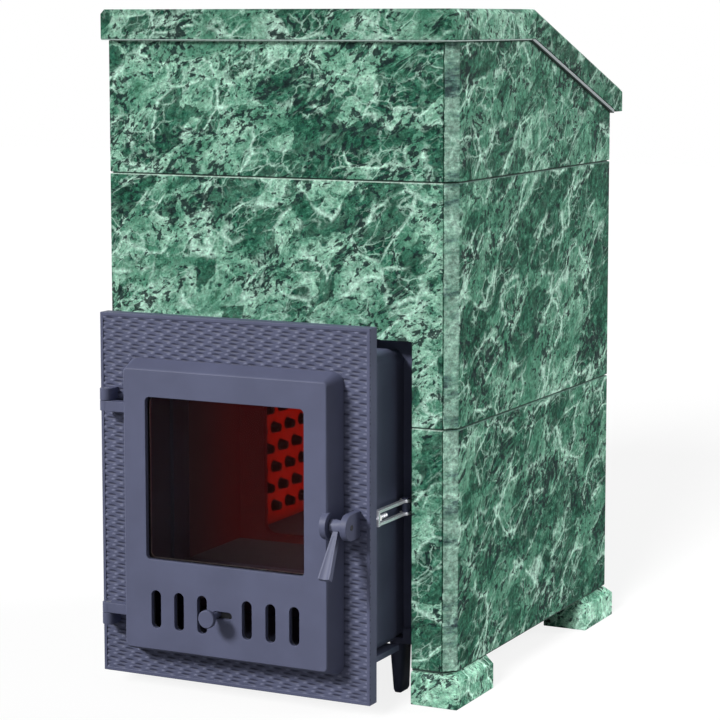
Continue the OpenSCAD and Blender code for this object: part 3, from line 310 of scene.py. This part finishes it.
def stove_paint(name, code, woven=False):
    """Heat-proof silicate paint on grey cast iron: an even blue-grey with a soft, low sheen and
    the faint orange peel of the sand mould. The frame's field carries a cast weave, with painted
    shade in its crescents and painted highlights on its knuckles."""
    finish, t = new_finish(name)
    p = put(t, "ShaderNodeTexCoord", out="Object")
    sand = noise(t, p, 1.6, 2.0)
    tone = noise(t, p, 70, 3.0)
    light = span(t, tone, 0.35, 0.65, 0.94, 1.06)
    colour = scaled(t, ink(code)[:3], light)
    normal = bump(t, sand, 0.25, 0.0002)
    if woven:
        x = axis(t, p, "X")
        y = axis(t, p, "Y")
        z = axis(t, p, "Z")
        # Only the sunk field takes it, not the rim and the land, which stand 2 mm higher
        field = calc(t, "COMPARE", y, portal_field - 0.0005, 0.0012)
        rows = calc(t, "DIVIDE", z, WEAVE_ROW)
        row = calc(t, "FLOOR", rows)
        v = calc(t, "FRACT", rows)
        kind = calc(t, "FLOORED_MODULO", row, float(WEAVE_KINDS))
        lead = calc(t, "MULTIPLY_ADD", kind, -WEAVE_FALL / WEAVE_STEPS, WEAVE_LEAD / WEAVE_STEPS)
        start = calc(t, "MULTIPLY", kind, lead)
        run = calc(t, "DIVIDE", x, WEAVE_STRAND)
        run = calc(t, "ADD", run, start)
        u = calc(t, "FRACT", run)
        crescent, knuckle = weave(t, u, v)
        # Painted shade darkens the sunk crescents, and a painted highlight lightens the raised
        # knuckles
        crescent = calc(t, "MULTIPLY", crescent, field)
        crescent = calc(t, "MULTIPLY", crescent, 0.85)
        knuckle = calc(t, "MULTIPLY", knuckle, field)
        knuckle = calc(t, "MULTIPLY", knuckle, 0.45)
        colour = blend(t, crescent, colour, ink("#2F3145"))
        colour = blend(t, knuckle, colour, ink("#8A8EA8"))
    close_finish(t, "ShaderNodeBsdfPrincipled",
                 {"Base Color": colour, "Roughness": 0.5, "Specular IOR Level": 0.25,
                  "Normal": normal})
    return finish


def bare_iron(name, code, rough, plate=None):
    """Unpainted grey cast iron with its casting skin: near black, matt, slightly mottled. The
    frame's dull bands take it too, with the pale plate under the cap above a given height."""
    finish, t = new_finish(name)
    p = put(t, "ShaderNodeTexCoord", out="Object")
    skin = noise(t, p, 4, 5.0, 0.65)
    light = span(t, skin, 0.3, 0.7, 0.8, 1.25)
    base = ink(code)[:3]
    if plate:
        high = calc(t, "GREATER_THAN", axis(t, p, "Z"), plate)
        base = blend(t, high, ink(code), ink("#9DB0AA"))
    colour = scaled(t, base, light)
    normal = bump(t, skin, 0.4, 0.0005)
    close_finish(t, "ShaderNodeBsdfPrincipled",
                 {"Base Color": colour, "Roughness": rough, "Specular IOR Level": 0.3,
                  "Normal": normal})
    return finish


def bright_steel(name, code, rough, brush, metal=1.0):
    """Zinc-plated steel: pale and bright, with fine drawing lines along the piece."""
    finish, t = new_finish(name)
    p = put(t, "ShaderNodeTexCoord", out="Object")
    lines = put(t, "ShaderNodeMapping", {"vector_type": "TEXTURE"}, {"Vector": p, "Scale": brush})
    grain = noise(t, lines, 1.2, 3.0)
    dull = span(t, grain, 0.3, 0.7, rough - 0.06, rough + 0.1)
    light = span(t, grain, 0.3, 0.7, 0.88, 1.06)
    colour = scaled(t, ink(code)[:3], light)
    normal = bump(t, grain, 0.2, 0.0001)
    close_finish(t, "ShaderNodeBsdfPrincipled",
                 {"Base Color": colour, "Metallic": metal, "Roughness": dull, "Normal": normal})
    return finish


def firelit_iron(name, y_dim, y_full_glow, base, dim, full_glow, plate=None):
    """Cast lining in a burning stove: dark scale with a deep red emission that stands in for the
    firelight on it, a painted glow.
    """
    finish, t = new_finish(name)
    p = put(t, "ShaderNodeTexCoord", out="Object")
    skin = noise(t, p, 9, 4.0, 0.6)
    light = span(t, skin, 0.3, 0.7, 0.8, 1.2)
    colour = scaled(t, ink(base)[:3], light)
    if plate:
        # Only the wall plate behind the studs takes the painted glow, and the studs' ends stay
        # dark. The glow grows towards the rear, and an occlusion node dims it next to the studs as
        # painted shade
        x = axis(t, p, "X")
        aside = calc(t, "ABSOLUTE", x)
        glow_share = calc(t, "GREATER_THAN", aside, plate)
        y = axis(t, p, "Y")
        rear = span(t, y, y_dim, y_full_glow, 0.25, 1.2)
        glow_share = calc(t, "MULTIPLY", glow_share, rear)
        # Painted shade: an occlusion node dims the glow next to the studs and brightens it midway
        # between them
        occlusion_shade = put(t, "ShaderNodeAmbientOcclusion", {"samples": 8}, {"Distance": 0.035}, out="AO")
        occlusion_shade = span(t, occlusion_shade, 0.45, 0.95, 0.25, 1.5)
        glow_share = calc(t, "MULTIPLY", glow_share, occlusion_shade)
    else:
        # On the lining and the fire floor the painted glow grows from the front towards the rear
        y = axis(t, p, "Y")
        glow_share = span(t, y, y_dim, y_full_glow, soft=True)
    glow = put(t, "ShaderNodeMix", {"data_type": "RGBA", "clamp_factor": False},
               {0: glow_share, 6: ink(dim), 7: ink(full_glow)}, out=2)
    normal = bump(t, skin, 0.3, 0.0005)
    close_finish(t, "ShaderNodeBsdfPrincipled",
                 {"Base Color": colour, "Roughness": 0.7, "Specular IOR Level": 0.2,
                  "Normal": normal, "Emission Color": glow, "Emission Strength": light})
    return finish


def stove_glass():
    """Glass ceramic, rolled: clear with a faint brown tint that darkens the fire behind it."""
    finish, t = new_finish("glass_ceramic")
    p = put(t, "ShaderNodeTexCoord", out="Object")
    soot = noise(t, p, 60, 4.0)
    haze = span(t, soot, 0.3, 0.7, 0.01, 0.06)
    close_finish(t, "ShaderNodeBsdfPrincipled",
                 {"Base Color": ink("#D9CFCB"), "Roughness": haze, "Transmission Weight": 1.0,
                  "IOR": 1.12})
    return finish


def glass_rope():
    """Knitted glass-fibre rope: off-white yarn with a soft sheen and loose fibres."""
    finish, t = new_finish("knitted_glass_fibre")
    p = put(t, "ShaderNodeTexCoord", out="Object")
    yarn = noise(t, p, 0.9, 2.0)
    colour = ramp(t, yarn, (0.3, "#9C978B"), (0.55, "#D8D4C8"), (0.75, "#EFECE2"))
    normal = bump(t, yarn, 0.5, 0.0003)
    close_finish(t, "ShaderNodeBsdfPrincipled",
                 {"Base Color": colour, "Roughness": 0.85, "Sheen Weight": 0.3, "Normal": normal})
    return finish


# Drawing lines run from front to back, 6 times as long as wide on rods and 8 times on sheet
ROD = (1.0, 6.0, 1.0)
SHEET = (1.0, 8.0, 1.0)
# Depth of the pale plate under the cap, and the part of the studs' 14 mm that stays out of the
# painted glow
CAP_PLATE = 0.004
STUD_DARK = 0.0135

door_paint = stove_paint("stove_paint_door", "#5B5F78")
frame_paint = stove_paint("stove_paint_frame", "#585C75", woven=True)
tunnel_paint = stove_paint("stove_paint_tunnel", "#5C6079")
lever_paint = stove_paint("stove_paint_lever", "#62667E")
cast_black = bare_iron("cast_iron_skin", "#1E1F24", 0.65)
cast_fire = bare_iron("cast_iron_fire_side", "#2B2022", 0.7)
sheet_black = bare_iron("blackened_sheet_steel", "#17181B", 0.5)
pin_steel = bright_steel("zinc_plated_pins", "#C4C7CE", 0.3, ROD)
tie_steel = bright_steel("zinc_plated_ties", "#E0E2E8", 0.32, ROD, 0.7)
band_steel = bare_iron("blackened_bands", "#33443F", 0.6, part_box("cap_front")[0].z - CAP_PLATE)
tray_steel = bright_steel("galvanised_tray", "#8C9294", 0.5, SHEET)
drawer_steel = bright_steel("drawer_sheet", "#8E9196", 0.45, SHEET)
# Studs, mouth lining and fire floor glow red by emission in place of the fire's light: painted
# light
firelit_studs = firelit_iron("glowing_stud_lining", mouth_high.y, mouth_high.y + 0.16,
                         "#1E0A09", "#120505", "#6C0D07",
                         plate=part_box("studs_left")[1].x * -1.0 + STUD_DARK)
firelit_lining = firelit_iron("glowing_mouth_lining", mouth_low.y, mouth_high.y,
                          "#241618", "#1D1013", "#33080A")
firelit_floor = firelit_iron("fire_floor_painted_glow", mouth_low.y, mouth_high.y + 0.10,
                         "#4C4750", "#151113", "#1D0F10")
clear_ceramic = stove_glass()
rope_yarn = glass_rope()

# Finish and edge rounding in millimetres of every CAD node that stays. At 0 its edges stay sharp,
# and at None its mesh takes no modifier
DRESS = {
    "front_top": (stone_front_upper, 1.8), "front_middle": (stone_front, 1.8),
    "front_low_left": (stone_front, 1.8), "front_low_right": (stone_front, 1.8),
    "left_top": (stone_side_upper, 1.8), "right_top": (stone_side_upper, 1.8),
    "left_middle": (stone_side_middle, 1.8), "right_middle": (stone_side_middle, 1.8),
    "left_low": (stone_side_low, 1.8), "right_low": (stone_side_low, 1.8),
    "back_top": (stone_back, 1.2), "back_middle": (stone_back, 1.2), "back_low": (stone_back, 1.2),
    "cap_front": (stone_cap, 1.2), "cap_rear": (stone_cap, 1.2),
    "slope_upper": (stone_slope, 1.0), "slope_lower": (stone_slope, 1.0),
    "foot_front_left": (stone_feet, 1.5), "foot_front_right": (stone_feet, 1.5),
    "foot_rear_left": (stone_feet, 1.5), "foot_rear_right": (stone_feet, 1.5),
    "steel_frame": (band_steel, 0.0), "slope_tray": (tray_steel, 0.4),
    "hatch_frame": (sheet_black, 0.5), "hatch_lid": (sheet_black, 0.6),
    "hatch_pin": (pin_steel, 0.4), "flue_socket": (sheet_black, 0.5),
    "firebox_front": (tunnel_paint, 0.5), "firebox_shell": (cast_black, 1.0),
    "firebox_roof": (cast_black, 1.0), "firebox_base": (tunnel_paint, 1.0),
    "leg_front_left": (tunnel_paint, 0.0), "leg_front_right": (tunnel_paint, 0.0),
    "leg_rear_left": (cast_black, 0.0), "leg_rear_right": (cast_black, 0.0),
    "hearth": (firelit_floor, 0.8), "inner_mouth": (firelit_lining, 1.0),
    "studs_left": (firelit_studs, 0.0), "studs_right": (firelit_studs, 0.0),
    "baffle": (cast_fire, 1.0), "grate": (cast_fire, 0.6), "heater_box": (sheet_black, 0.5),
    "tunnel": (tunnel_paint, 1.0), "portal": (frame_paint, 0.95),
    "yoke_left": (tie_steel, 0.5), "yoke_right": (tie_steel, 0.5),
    "hinge_pin_upper": (pin_steel, 0.3), "hinge_pin_lower": (pin_steel, 0.3),
    "keeper_pin": (cast_black, 0.3), "latch_pin": (cast_black, 0.3),
    "door": (door_paint, 0.8), "door_glass": (clear_ceramic, None), "glass_ring": (pin_steel, 0.4),
    "latch_handle": (lever_paint, 0.45),
    "air_slider": (sheet_black, 0.3), "air_knob": (door_paint, 0.4),
    "ash_drawer": (drawer_steel, 0.3),
}

# Vertices this near are one, facets this near to flat are one face, and on nodes that aren't
# rounded edges above the crease angle stay sharp
SAME = 0.00001
FLAT = math.radians(0.4)
CREASE = math.radians(30)
# Angle in degrees from which an edge is rounded. It is larger where short facets meet a flat
ROUNDED = 40
ROUNDED_HERE = {"latch_handle": 60, "hatch_lid": 75, "ash_drawer": 75}


def dress(name, finish, edge):
    """Gives a CAD node its finish, and rounds its edges with modifiers on the kept mesh."""
    node = nodes[name]
    node.data.materials.clear()
    node.data.materials.append(finish)
    if edge is None:
        return
    for face in node.data.polygons:
        face.use_smooth = True
    weld = node.modifiers.new("joined", "WELD")
    weld.merge_threshold = SAME
    # The lever's facets stay apart, because once joined they fold where its edges are rounded
    if edge and name != "latch_handle":
        merged = node.modifiers.new("whole_faces", "DECIMATE")
        merged.decimate_type = "DISSOLVE"
        merged.angle_limit = FLAT
    if edge:
        bevel = node.modifiers.new("edges", "BEVEL")
        bevel.width = edge * MM
        bevel.segments = 2
        bevel.limit_method = "ANGLE"
        bevel.angle_limit = math.radians(ROUNDED_HERE.get(name, ROUNDED))
        bevel.use_clamp_overlap = False
        flat = node.modifiers.new("flats", "WEIGHTED_NORMAL")
        flat.weight = 80
        flat.keep_sharp = False
    else:
        crease = node.modifiers.new("creases", "EDGE_SPLIT")
        crease.split_angle = CREASE


for name, (finish, edge) in DRESS.items():
    dress(name, finish, edge)


# Pieces that repeat one form along a path: each has its own tree of nodes


def new_tree(name, sizes):
    """An empty tree with a path, named sizes and a finish as its inputs."""
    tree = bpy.data.node_groups.new(name, "GeometryNodeTree")
    keys = {}
    sockets = [("Path", "NodeSocketGeometry")] + [(size, "NodeSocketFloat") for size in sizes]
    for label, kind in sockets + [("Finish", "NodeSocketMaterial")]:
        item = tree.interface.new_socket(name=label, in_out="INPUT", socket_type=kind)
        keys[label] = item.identifier
    tree.interface.new_socket(name="Geometry", in_out="OUTPUT", socket_type="NodeSocketGeometry")
    return tree, keys


def given(tree, label):
    return put(tree, "NodeGroupInput", out=label)


def close_tree(tree, parts):
    """Joins the parts, makes them real and gives them the finish."""
    joined = tree.nodes.new("GeometryNodeJoinGeometry")
    for part in reversed(parts):
        tree.links.new(part, joined.inputs[0])
    real = put(tree, "GeometryNodeRealizeInstances", {}, {0: joined.outputs[0]})
    done = put(tree, "GeometryNodeSetMaterial", {},
               {"Geometry": real, "Material": given(tree, "Finish")})
    put(tree, "NodeGroupOutput", {}, {0: done})


def grow(name, path, tree, keys, sizes, finish, body, replaced=()):
    """Runs a tree on a path and keeps the result as a plain mesh that rides on a body."""
    seed = bpy.data.objects.new(name + "_path", path)
    bpy.context.scene.collection.objects.link(seed)
    maker = seed.modifiers.new("maker", "NODES")
    maker.node_group = tree
    for label, value in sizes.items():
        maker[keys[label]] = value
    maker[keys["Finish"]] = finish
    graph = bpy.context.evaluated_depsgraph_get()
    mesh = bpy.data.meshes.new_from_object(seed.evaluated_get(graph), depsgraph=graph)
    bpy.data.objects.remove(seed)
    mesh.name = name
    piece = bpy.data.objects.new(name, mesh)
    bpy.context.scene.collection.objects.link(piece)
    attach(piece, body)
    if replaced:
        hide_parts(*replaced)
    return piece


def curve_of(name, points, closed):
    path = bpy.data.curves.new(name, "CURVE")
    path.dimensions = "3D"
    spline = path.splines.new("POLY")
    spline.points.add(len(points) - 1)
    for point, place in zip(spline.points, points):
        point.co = (*place, 1.0)
    spline.use_cyclic_u = closed
    return path


# Stitches round the rope, and how far they slant to each side, in radians
STITCHES = 8
SLANT = 0.55


def knitted_rope():
    """Rings of slanting stitches round a core, each ring turned by half a stitch."""
    tree, keys = new_tree("knitted_rope", ("Pitch", "Radius", "Yarn"))
    line = put(tree, "GeometryNodeResampleCurve", {"mode": "LENGTH"},
               {"Curve": given(tree, "Path"), "Length": given(tree, "Pitch")})
    round_core = put(tree, "GeometryNodeCurvePrimitiveCircle", {},
                     {"Resolution": 10, "Radius": given(tree, "Radius")})
    core = put(tree, "GeometryNodeCurveToMesh", {}, {"Curve": line, "Profile Curve": round_core})
    stitch = put(tree, "GeometryNodeMeshUVSphere", {},
                 {"Segments": 6, "Rings": 4, "Radius": given(tree, "Yarn")})
    stitch = put(tree, "GeometryNodeTransform", {}, {"Geometry": stitch, "Scale": (1.0, 1.05, 2.3)})
    ring = put(tree, "GeometryNodeMeshCircle", {},
               {"Vertices": STITCHES, "Radius": given(tree, "Radius")})
    outwards = put(tree, "GeometryNodeInputPosition")
    turned = put(tree, "FunctionNodeAlignRotationToVector", {"axis": "X", "pivot_axis": "Z"},
                 {"Vector": outwards})
    index = put(tree, "GeometryNodeInputIndex")
    odd = calc(tree, "FLOORED_MODULO", index, 2.0)
    slant = calc(tree, "MULTIPLY_ADD", odd, 2 * SLANT, -SLANT)
    slant = put(tree, "ShaderNodeCombineXYZ", {}, {0: slant})
    turned = put(tree, "FunctionNodeRotateRotation", {"rotation_space": "LOCAL"},
                 {0: turned, 1: slant})
    ring = put(tree, "GeometryNodeInstanceOnPoints", {},
               {"Points": ring, "Instance": stitch, "Rotation": turned})
    along = put(tree, "GeometryNodeInputTangent")
    facing = put(tree, "FunctionNodeAlignRotationToVector", {"axis": "Z"}, {"Vector": along})
    half = calc(tree, "MULTIPLY", odd, math.pi / STITCHES)
    half = put(tree, "ShaderNodeCombineXYZ", {}, {2: half})
    facing = put(tree, "FunctionNodeRotateRotation", {"rotation_space": "LOCAL"},
                 {0: facing, 1: half})
    rings = put(tree, "GeometryNodeInstanceOnPoints", {},
                {"Points": line, "Instance": ring, "Rotation": facing})
    close_tree(tree, [core, rings])
    return tree, keys


def screw_thread():
    """A helical ridge of triangular section round a core."""
    tree, keys = new_tree("screw_thread", ("Pitch", "Radius", "Depth", "Length"))
    turns = calc(tree, "DIVIDE", given(tree, "Length"), given(tree, "Pitch"))
    root = calc(tree, "SUBTRACT", given(tree, "Radius"), given(tree, "Depth"))
    helix = put(tree, "GeometryNodeCurveSpiral", {},
                {"Resolution": 16, "Rotations": turns, "Start Radius": root, "End Radius": root,
                 "Height": given(tree, "Length")})
    ridge = put(tree, "GeometryNodeCurvePrimitiveCircle", {},
                {"Resolution": 3, "Radius": given(tree, "Depth")})
    ridge = put(tree, "GeometryNodeCurveToMesh", {},
                {"Curve": helix, "Profile Curve": ridge, "Fill Caps": True})
    core = put(tree, "GeometryNodeCurvePrimitiveCircle", {}, {"Resolution": 20, "Radius": root})
    core = put(tree, "GeometryNodeCurveToMesh", {},
               {"Curve": given(tree, "Path"), "Profile Curve": core, "Fill Caps": True})
    turned = put(tree, "GeometryNodeTransform", {},
                 {"Geometry": ridge, "Rotation": (-math.pi / 2, 0.0, 0.0)})
    close_tree(tree, [core, turned])
    return tree, keys


def woven_relief():
    """One cell of the weave, raised and sunk round the field's level, on every point."""
    tree, keys = new_tree("woven_relief", ("Length", "Height", "Relief"))
    cell = put(tree, "GeometryNodeMeshGrid", {},
               {"Size X": given(tree, "Length"), "Size Y": given(tree, "Height"),
                "Vertices X": WEAVE_STEPS + 1, "Vertices Y": 7})
    spot = put(tree, "GeometryNodeInputPosition")
    x = axis(tree, spot, "X")
    y = axis(tree, spot, "Y")
    u = calc(tree, "DIVIDE", x, given(tree, "Length"))
    u = calc(tree, "ADD", u, 0.5)
    v = calc(tree, "DIVIDE", y, given(tree, "Height"))
    v = calc(tree, "ADD", v, 0.5)
    crescent, knuckle = weave(tree, u, v)
    rise = calc(tree, "MULTIPLY_ADD", crescent, -0.65, 0.7)
    rise = calc(tree, "MULTIPLY_ADD", knuckle, 0.8, rise)
    rise = calc(tree, "MULTIPLY", rise, given(tree, "Relief"))
    rise = put(tree, "ShaderNodeCombineXYZ", {}, {2: rise})
    cell = put(tree, "GeometryNodeSetPosition", {}, {"Geometry": cell, "Offset": rise})
    cell = put(tree, "GeometryNodeSetShadeSmooth", {}, {0: cell})
    cell = put(tree, "GeometryNodeTransform", {},
               {"Geometry": cell, "Rotation": (math.pi / 2, 0.0, 0.0)})
    cells = put(tree, "GeometryNodeInstanceOnPoints", {},
                {"Points": given(tree, "Path"), "Instance": cell})
    close_tree(tree, [cells])
    return tree, keys


# The rope runs round its channel with rounded corners, in steps of 15 degrees
rope_low, rope_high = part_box("door_rope")
rope_r = (rope_high.y - rope_low.y) / 2
corner = 0.011
loop = []
for turn in range(4):
    x = rope_high.x - rope_r - corner if turn in (0, 3) else rope_low.x + rope_r + corner
    z = rope_high.z - rope_r - corner if turn in (0, 1) else rope_low.z + rope_r + corner
    for step in range(7):
        a = math.radians(90 * turn + 15 * step)
        loop.append((x + corner * math.cos(a), rope_low.y + rope_r, z + corner * math.sin(a)))
tree, keys = knitted_rope()
grown = [(grow("knitted_door_rope", curve_of("rope_path", loop, True), tree, keys,
               {"Pitch": 0.0046, "Radius": rope_r * 0.66, "Yarn": rope_r * 0.30},
               rope_yarn, "door", ("door_rope",)), "iron")]

# The weave stands in the frame's sunk field, between its rim and the raised land round the door
tree, keys = woven_relief()
rim = 0.0055
strands_aside = 10  # on each side of the middle, more than the frame takes
cells = []
for row in range(math.floor(portal_low.z / WEAVE_ROW), math.ceil(portal_high.z / WEAVE_ROW)):
    kind = row % WEAVE_KINDS
    start = kind * (WEAVE_LEAD - WEAVE_FALL * kind) / WEAVE_STEPS
    z = (row + 0.5) * WEAVE_ROW
    for count in range(-strands_aside, strands_aside + 2):
        x = (count - start + 0.5) * WEAVE_STRAND
        under_door = (rope_low.x + WEAVE_STRAND < x < rope_high.x - WEAVE_STRAND
                      and rope_low.z + WEAVE_ROW < z < rope_high.z - WEAVE_ROW)
        if not under_door and abs(x) < portal_high.x + WEAVE_STRAND / 2:
            cells.append((x, portal_field, z))
points = bpy.data.meshes.new("weave_points")
points.from_pydata(cells, [], [])
field = grow("woven_field", points, tree, keys,
             {"Length": WEAVE_STRAND, "Height": WEAVE_ROW, "Relief": 0.0012},
             frame_paint, "stove")
form = bmesh.new()
form.from_mesh(field.data)
bmesh.ops.remove_doubles(form, verts=form.verts, dist=0.00002)
edge_x = portal_high.x - rim
for place, way in (((edge_x, 0, 0), (1, 0, 0)), ((-edge_x, 0, 0), (-1, 0, 0)),
                   ((0, 0, portal_high.z - rim), (0, 0, 1)),
                   ((0, 0, portal_low.z + rim), (0, 0, -1))):
    whole = list(form.verts) + list(form.edges) + list(form.faces)
    bmesh.ops.bisect_plane(form, geom=whole, plane_co=place, plane_no=way, clear_outer=True)
inside = [f for f in form.faces
          if rope_low.x < f.calc_center_median().x < rope_high.x
          and rope_low.z < f.calc_center_median().z < rope_high.z]
bmesh.ops.delete(form, geom=inside, context="FACES")
# The border goes down into the plate and the back is closed, so the relief is a solid
sunk = 0.0004
border = [e for e in form.edges if e.is_boundary]
for e in border:
    e.smooth = False
skirt = bmesh.ops.extrude_edge_only(form, edges=border)["geom"]
foot = {v for v in skirt if isinstance(v, bmesh.types.BMVert)}
for v in foot:
    v.co.y = portal_field + sunk
ends = [e for e in skirt if isinstance(e, bmesh.types.BMEdge) and foot.issuperset(e.verts)]
bmesh.ops.triangle_fill(form, edges=ends, normal=(0, 1, 0))
bmesh.ops.recalc_face_normals(form, faces=form.faces)
form.to_mesh(field.data)
form.free()
grown.append((field, "iron"))

# Threaded studs with a plain nut that bears on the yoke: the nut's size, how far its middle is
# from the stud's end, and the chamfer on its rims
nut_radius, nut_height, nut_back, nut_chamfer = 0.0069, 0.006, 0.0299, 0.0006
tree, keys = screw_thread()
for side in ("left", "right"):
    low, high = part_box("tie_stud_" + side)
    x, z = (low.x + high.x) / 2, (low.z + high.z) / 2
    line = curve_of("stud_axis", [(0, 0, 0), (0, high.y - low.y, 0)], False)
    stud = grow("threaded_stud_" + side, line, tree, keys,
                {"Pitch": 0.00125, "Radius": 0.0039, "Depth": 0.0006,
                 "Length": high.y - low.y - 0.001},
                tie_steel, "stove", ("tie_stud_" + side,))
    form = bmesh.new()
    form.from_mesh(stud.data)
    bmesh.ops.translate(form, verts=form.verts, vec=(x, low.y, z))
    nut = bmesh.ops.create_cone(form, cap_ends=True, segments=6, radius1=nut_radius,
                                radius2=nut_radius, depth=nut_height,
                                matrix=Matrix.Translation((x, high.y - nut_back, z))
                                @ Matrix.Rotation(math.radians(90), 4, "X"))
    rims = [e for e in {e for v in nut["verts"] for e in v.link_edges}
            if all(abs(v.co.y - e.verts[0].co.y) < 1e-6 for v in e.verts)]
    bmesh.ops.bevel(form, geom=rims, offset=nut_chamfer, segments=1, affect="EDGES")
    bmesh.ops.recalc_face_normals(form, faces=form.faces)
    form.to_mesh(stud.data)
    form.free()
    grown.append((stud, "ties"))

# Stage: a paper floor that the camera sees white, and that is a light grey to the light on it

reach = 14.0
floor_mesh = bpy.data.meshes.new("studio_floor")
floor_mesh.from_pydata([(-reach, -reach, 0), (reach, -reach, 0), (reach, reach, 0),
                        (-reach, reach, 0)], [], [(0, 1, 2, 3)])
floor = bpy.data.objects.new("studio_floor", floor_mesh)
bpy.context.scene.collection.objects.link(floor)
paper, t = new_finish("white_paper_floor")
seen = put(t, "ShaderNodeLightPath", out="Is Camera Ray")
part = calc(t, "MULTIPLY", seen, 0.85)
tint = blend(t, seen, ink("#B4B4B4"), ink("#FFFFFF"))
matt = put(t, "ShaderNodeBsdfDiffuse", {}, {"Color": tint, "Roughness": 1.0})
plain = put(t, "ShaderNodeEmission", {}, {"Color": ink("#FFFFFF"), "Strength": 1.0})
close_finish(t, "ShaderNodeMixShader", {0: part, 1: matt, 2: plain})
floor_mesh.materials.append(paper)

# World: white where it is seen, mirrored or seen through glass, and about a quarter as light on
# the object
world = bpy.data.worlds.new("studio")
bpy.context.scene.world = world
world.use_nodes = True
t = world.node_tree
t.nodes.clear()
camera_ray = put(t, "ShaderNodeLightPath", out="Is Camera Ray")
glossy_ray = put(t, "ShaderNodeLightPath", out="Is Glossy Ray")
through_ray = put(t, "ShaderNodeLightPath", out="Is Transmission Ray")
seen = calc(t, "MAXIMUM", camera_ray, glossy_ray)
seen = calc(t, "MAXIMUM", seen, through_ray)
level = span(t, seen, 0.0, 1.0, 0.24, 1.0)
sky = put(t, "ShaderNodeBackground", {}, {"Color": ink("#FFFFFF"), "Strength": level})
put(t, "ShaderNodeOutputWorld", {}, {"Surface": sky})

# Two broad suns, a key from the front and one from the right and behind. The cast fire side and
# the stone body each take their own pair, so that neither throws a hard shadow on the other, and
# the ties behind the frame, which both suns miss, take a third.
iron_finishes = (door_paint, frame_paint, tunnel_paint, lever_paint)
groups = {kind: bpy.data.collections.new("lit_" + kind) for kind in ("iron", "stone", "ties")}
for name, (finish, edge) in DRESS.items():
    kind = "ties" if finish == tie_steel else "iron" if finish in iron_finishes else "stone"
    groups[kind].objects.link(nodes[name])
for piece, kind in grown:
    groups[kind].objects.link(piece)
groups["stone"].objects.link(floor)
# What each sun lights, its name, where it stands, its strength and its width in degrees
for group, name, towards, power, spread in (
        ("iron", "iron_key", (-0.70, -1.0, 0.80), 3.1, 14),
        ("iron", "iron_side", (1.0, 0.95, 0.65), 1.1, 24),
        ("ties", "tie_light", (1.0, -0.6, 0.5), 2.6, 20),
        ("stone", "stone_key", (0.10, -1.0, 0.45), 2.3, 16),
        ("stone", "stone_side", (1.0, 0.95, 0.65), 2.6, 24)):
    lamp = bpy.data.lights.new(name, "SUN")
    lamp.energy = power
    lamp.angle = math.radians(spread)
    sun = bpy.data.objects.new(name, lamp)
    sun.rotation_euler = Vector(towards).to_track_quat("Z", "Y").to_euler()
    sun.location = Vector(towards) * 3
    sun.light_linking.receiver_collection = groups[group]
    bpy.context.scene.collection.objects.link(sun)

# Camera, to the right of the front and about as high as the stove's top
lens = bpy.data.cameras.new("camera")
lens.lens = 120.29
lens.sensor_width = 36
lens.shift_y = -0.0833
camera = bpy.data.objects.new("camera", lens)
camera.location = (1.9058, -3.7662, 1.1260)
camera.rotation_euler = (math.radians(83.344), math.radians(0.03), math.radians(26.505))
bpy.context.scene.collection.objects.link(camera)
bpy.context.scene.camera = camera
bpy.context.scene.view_settings.view_transform = "Standard"
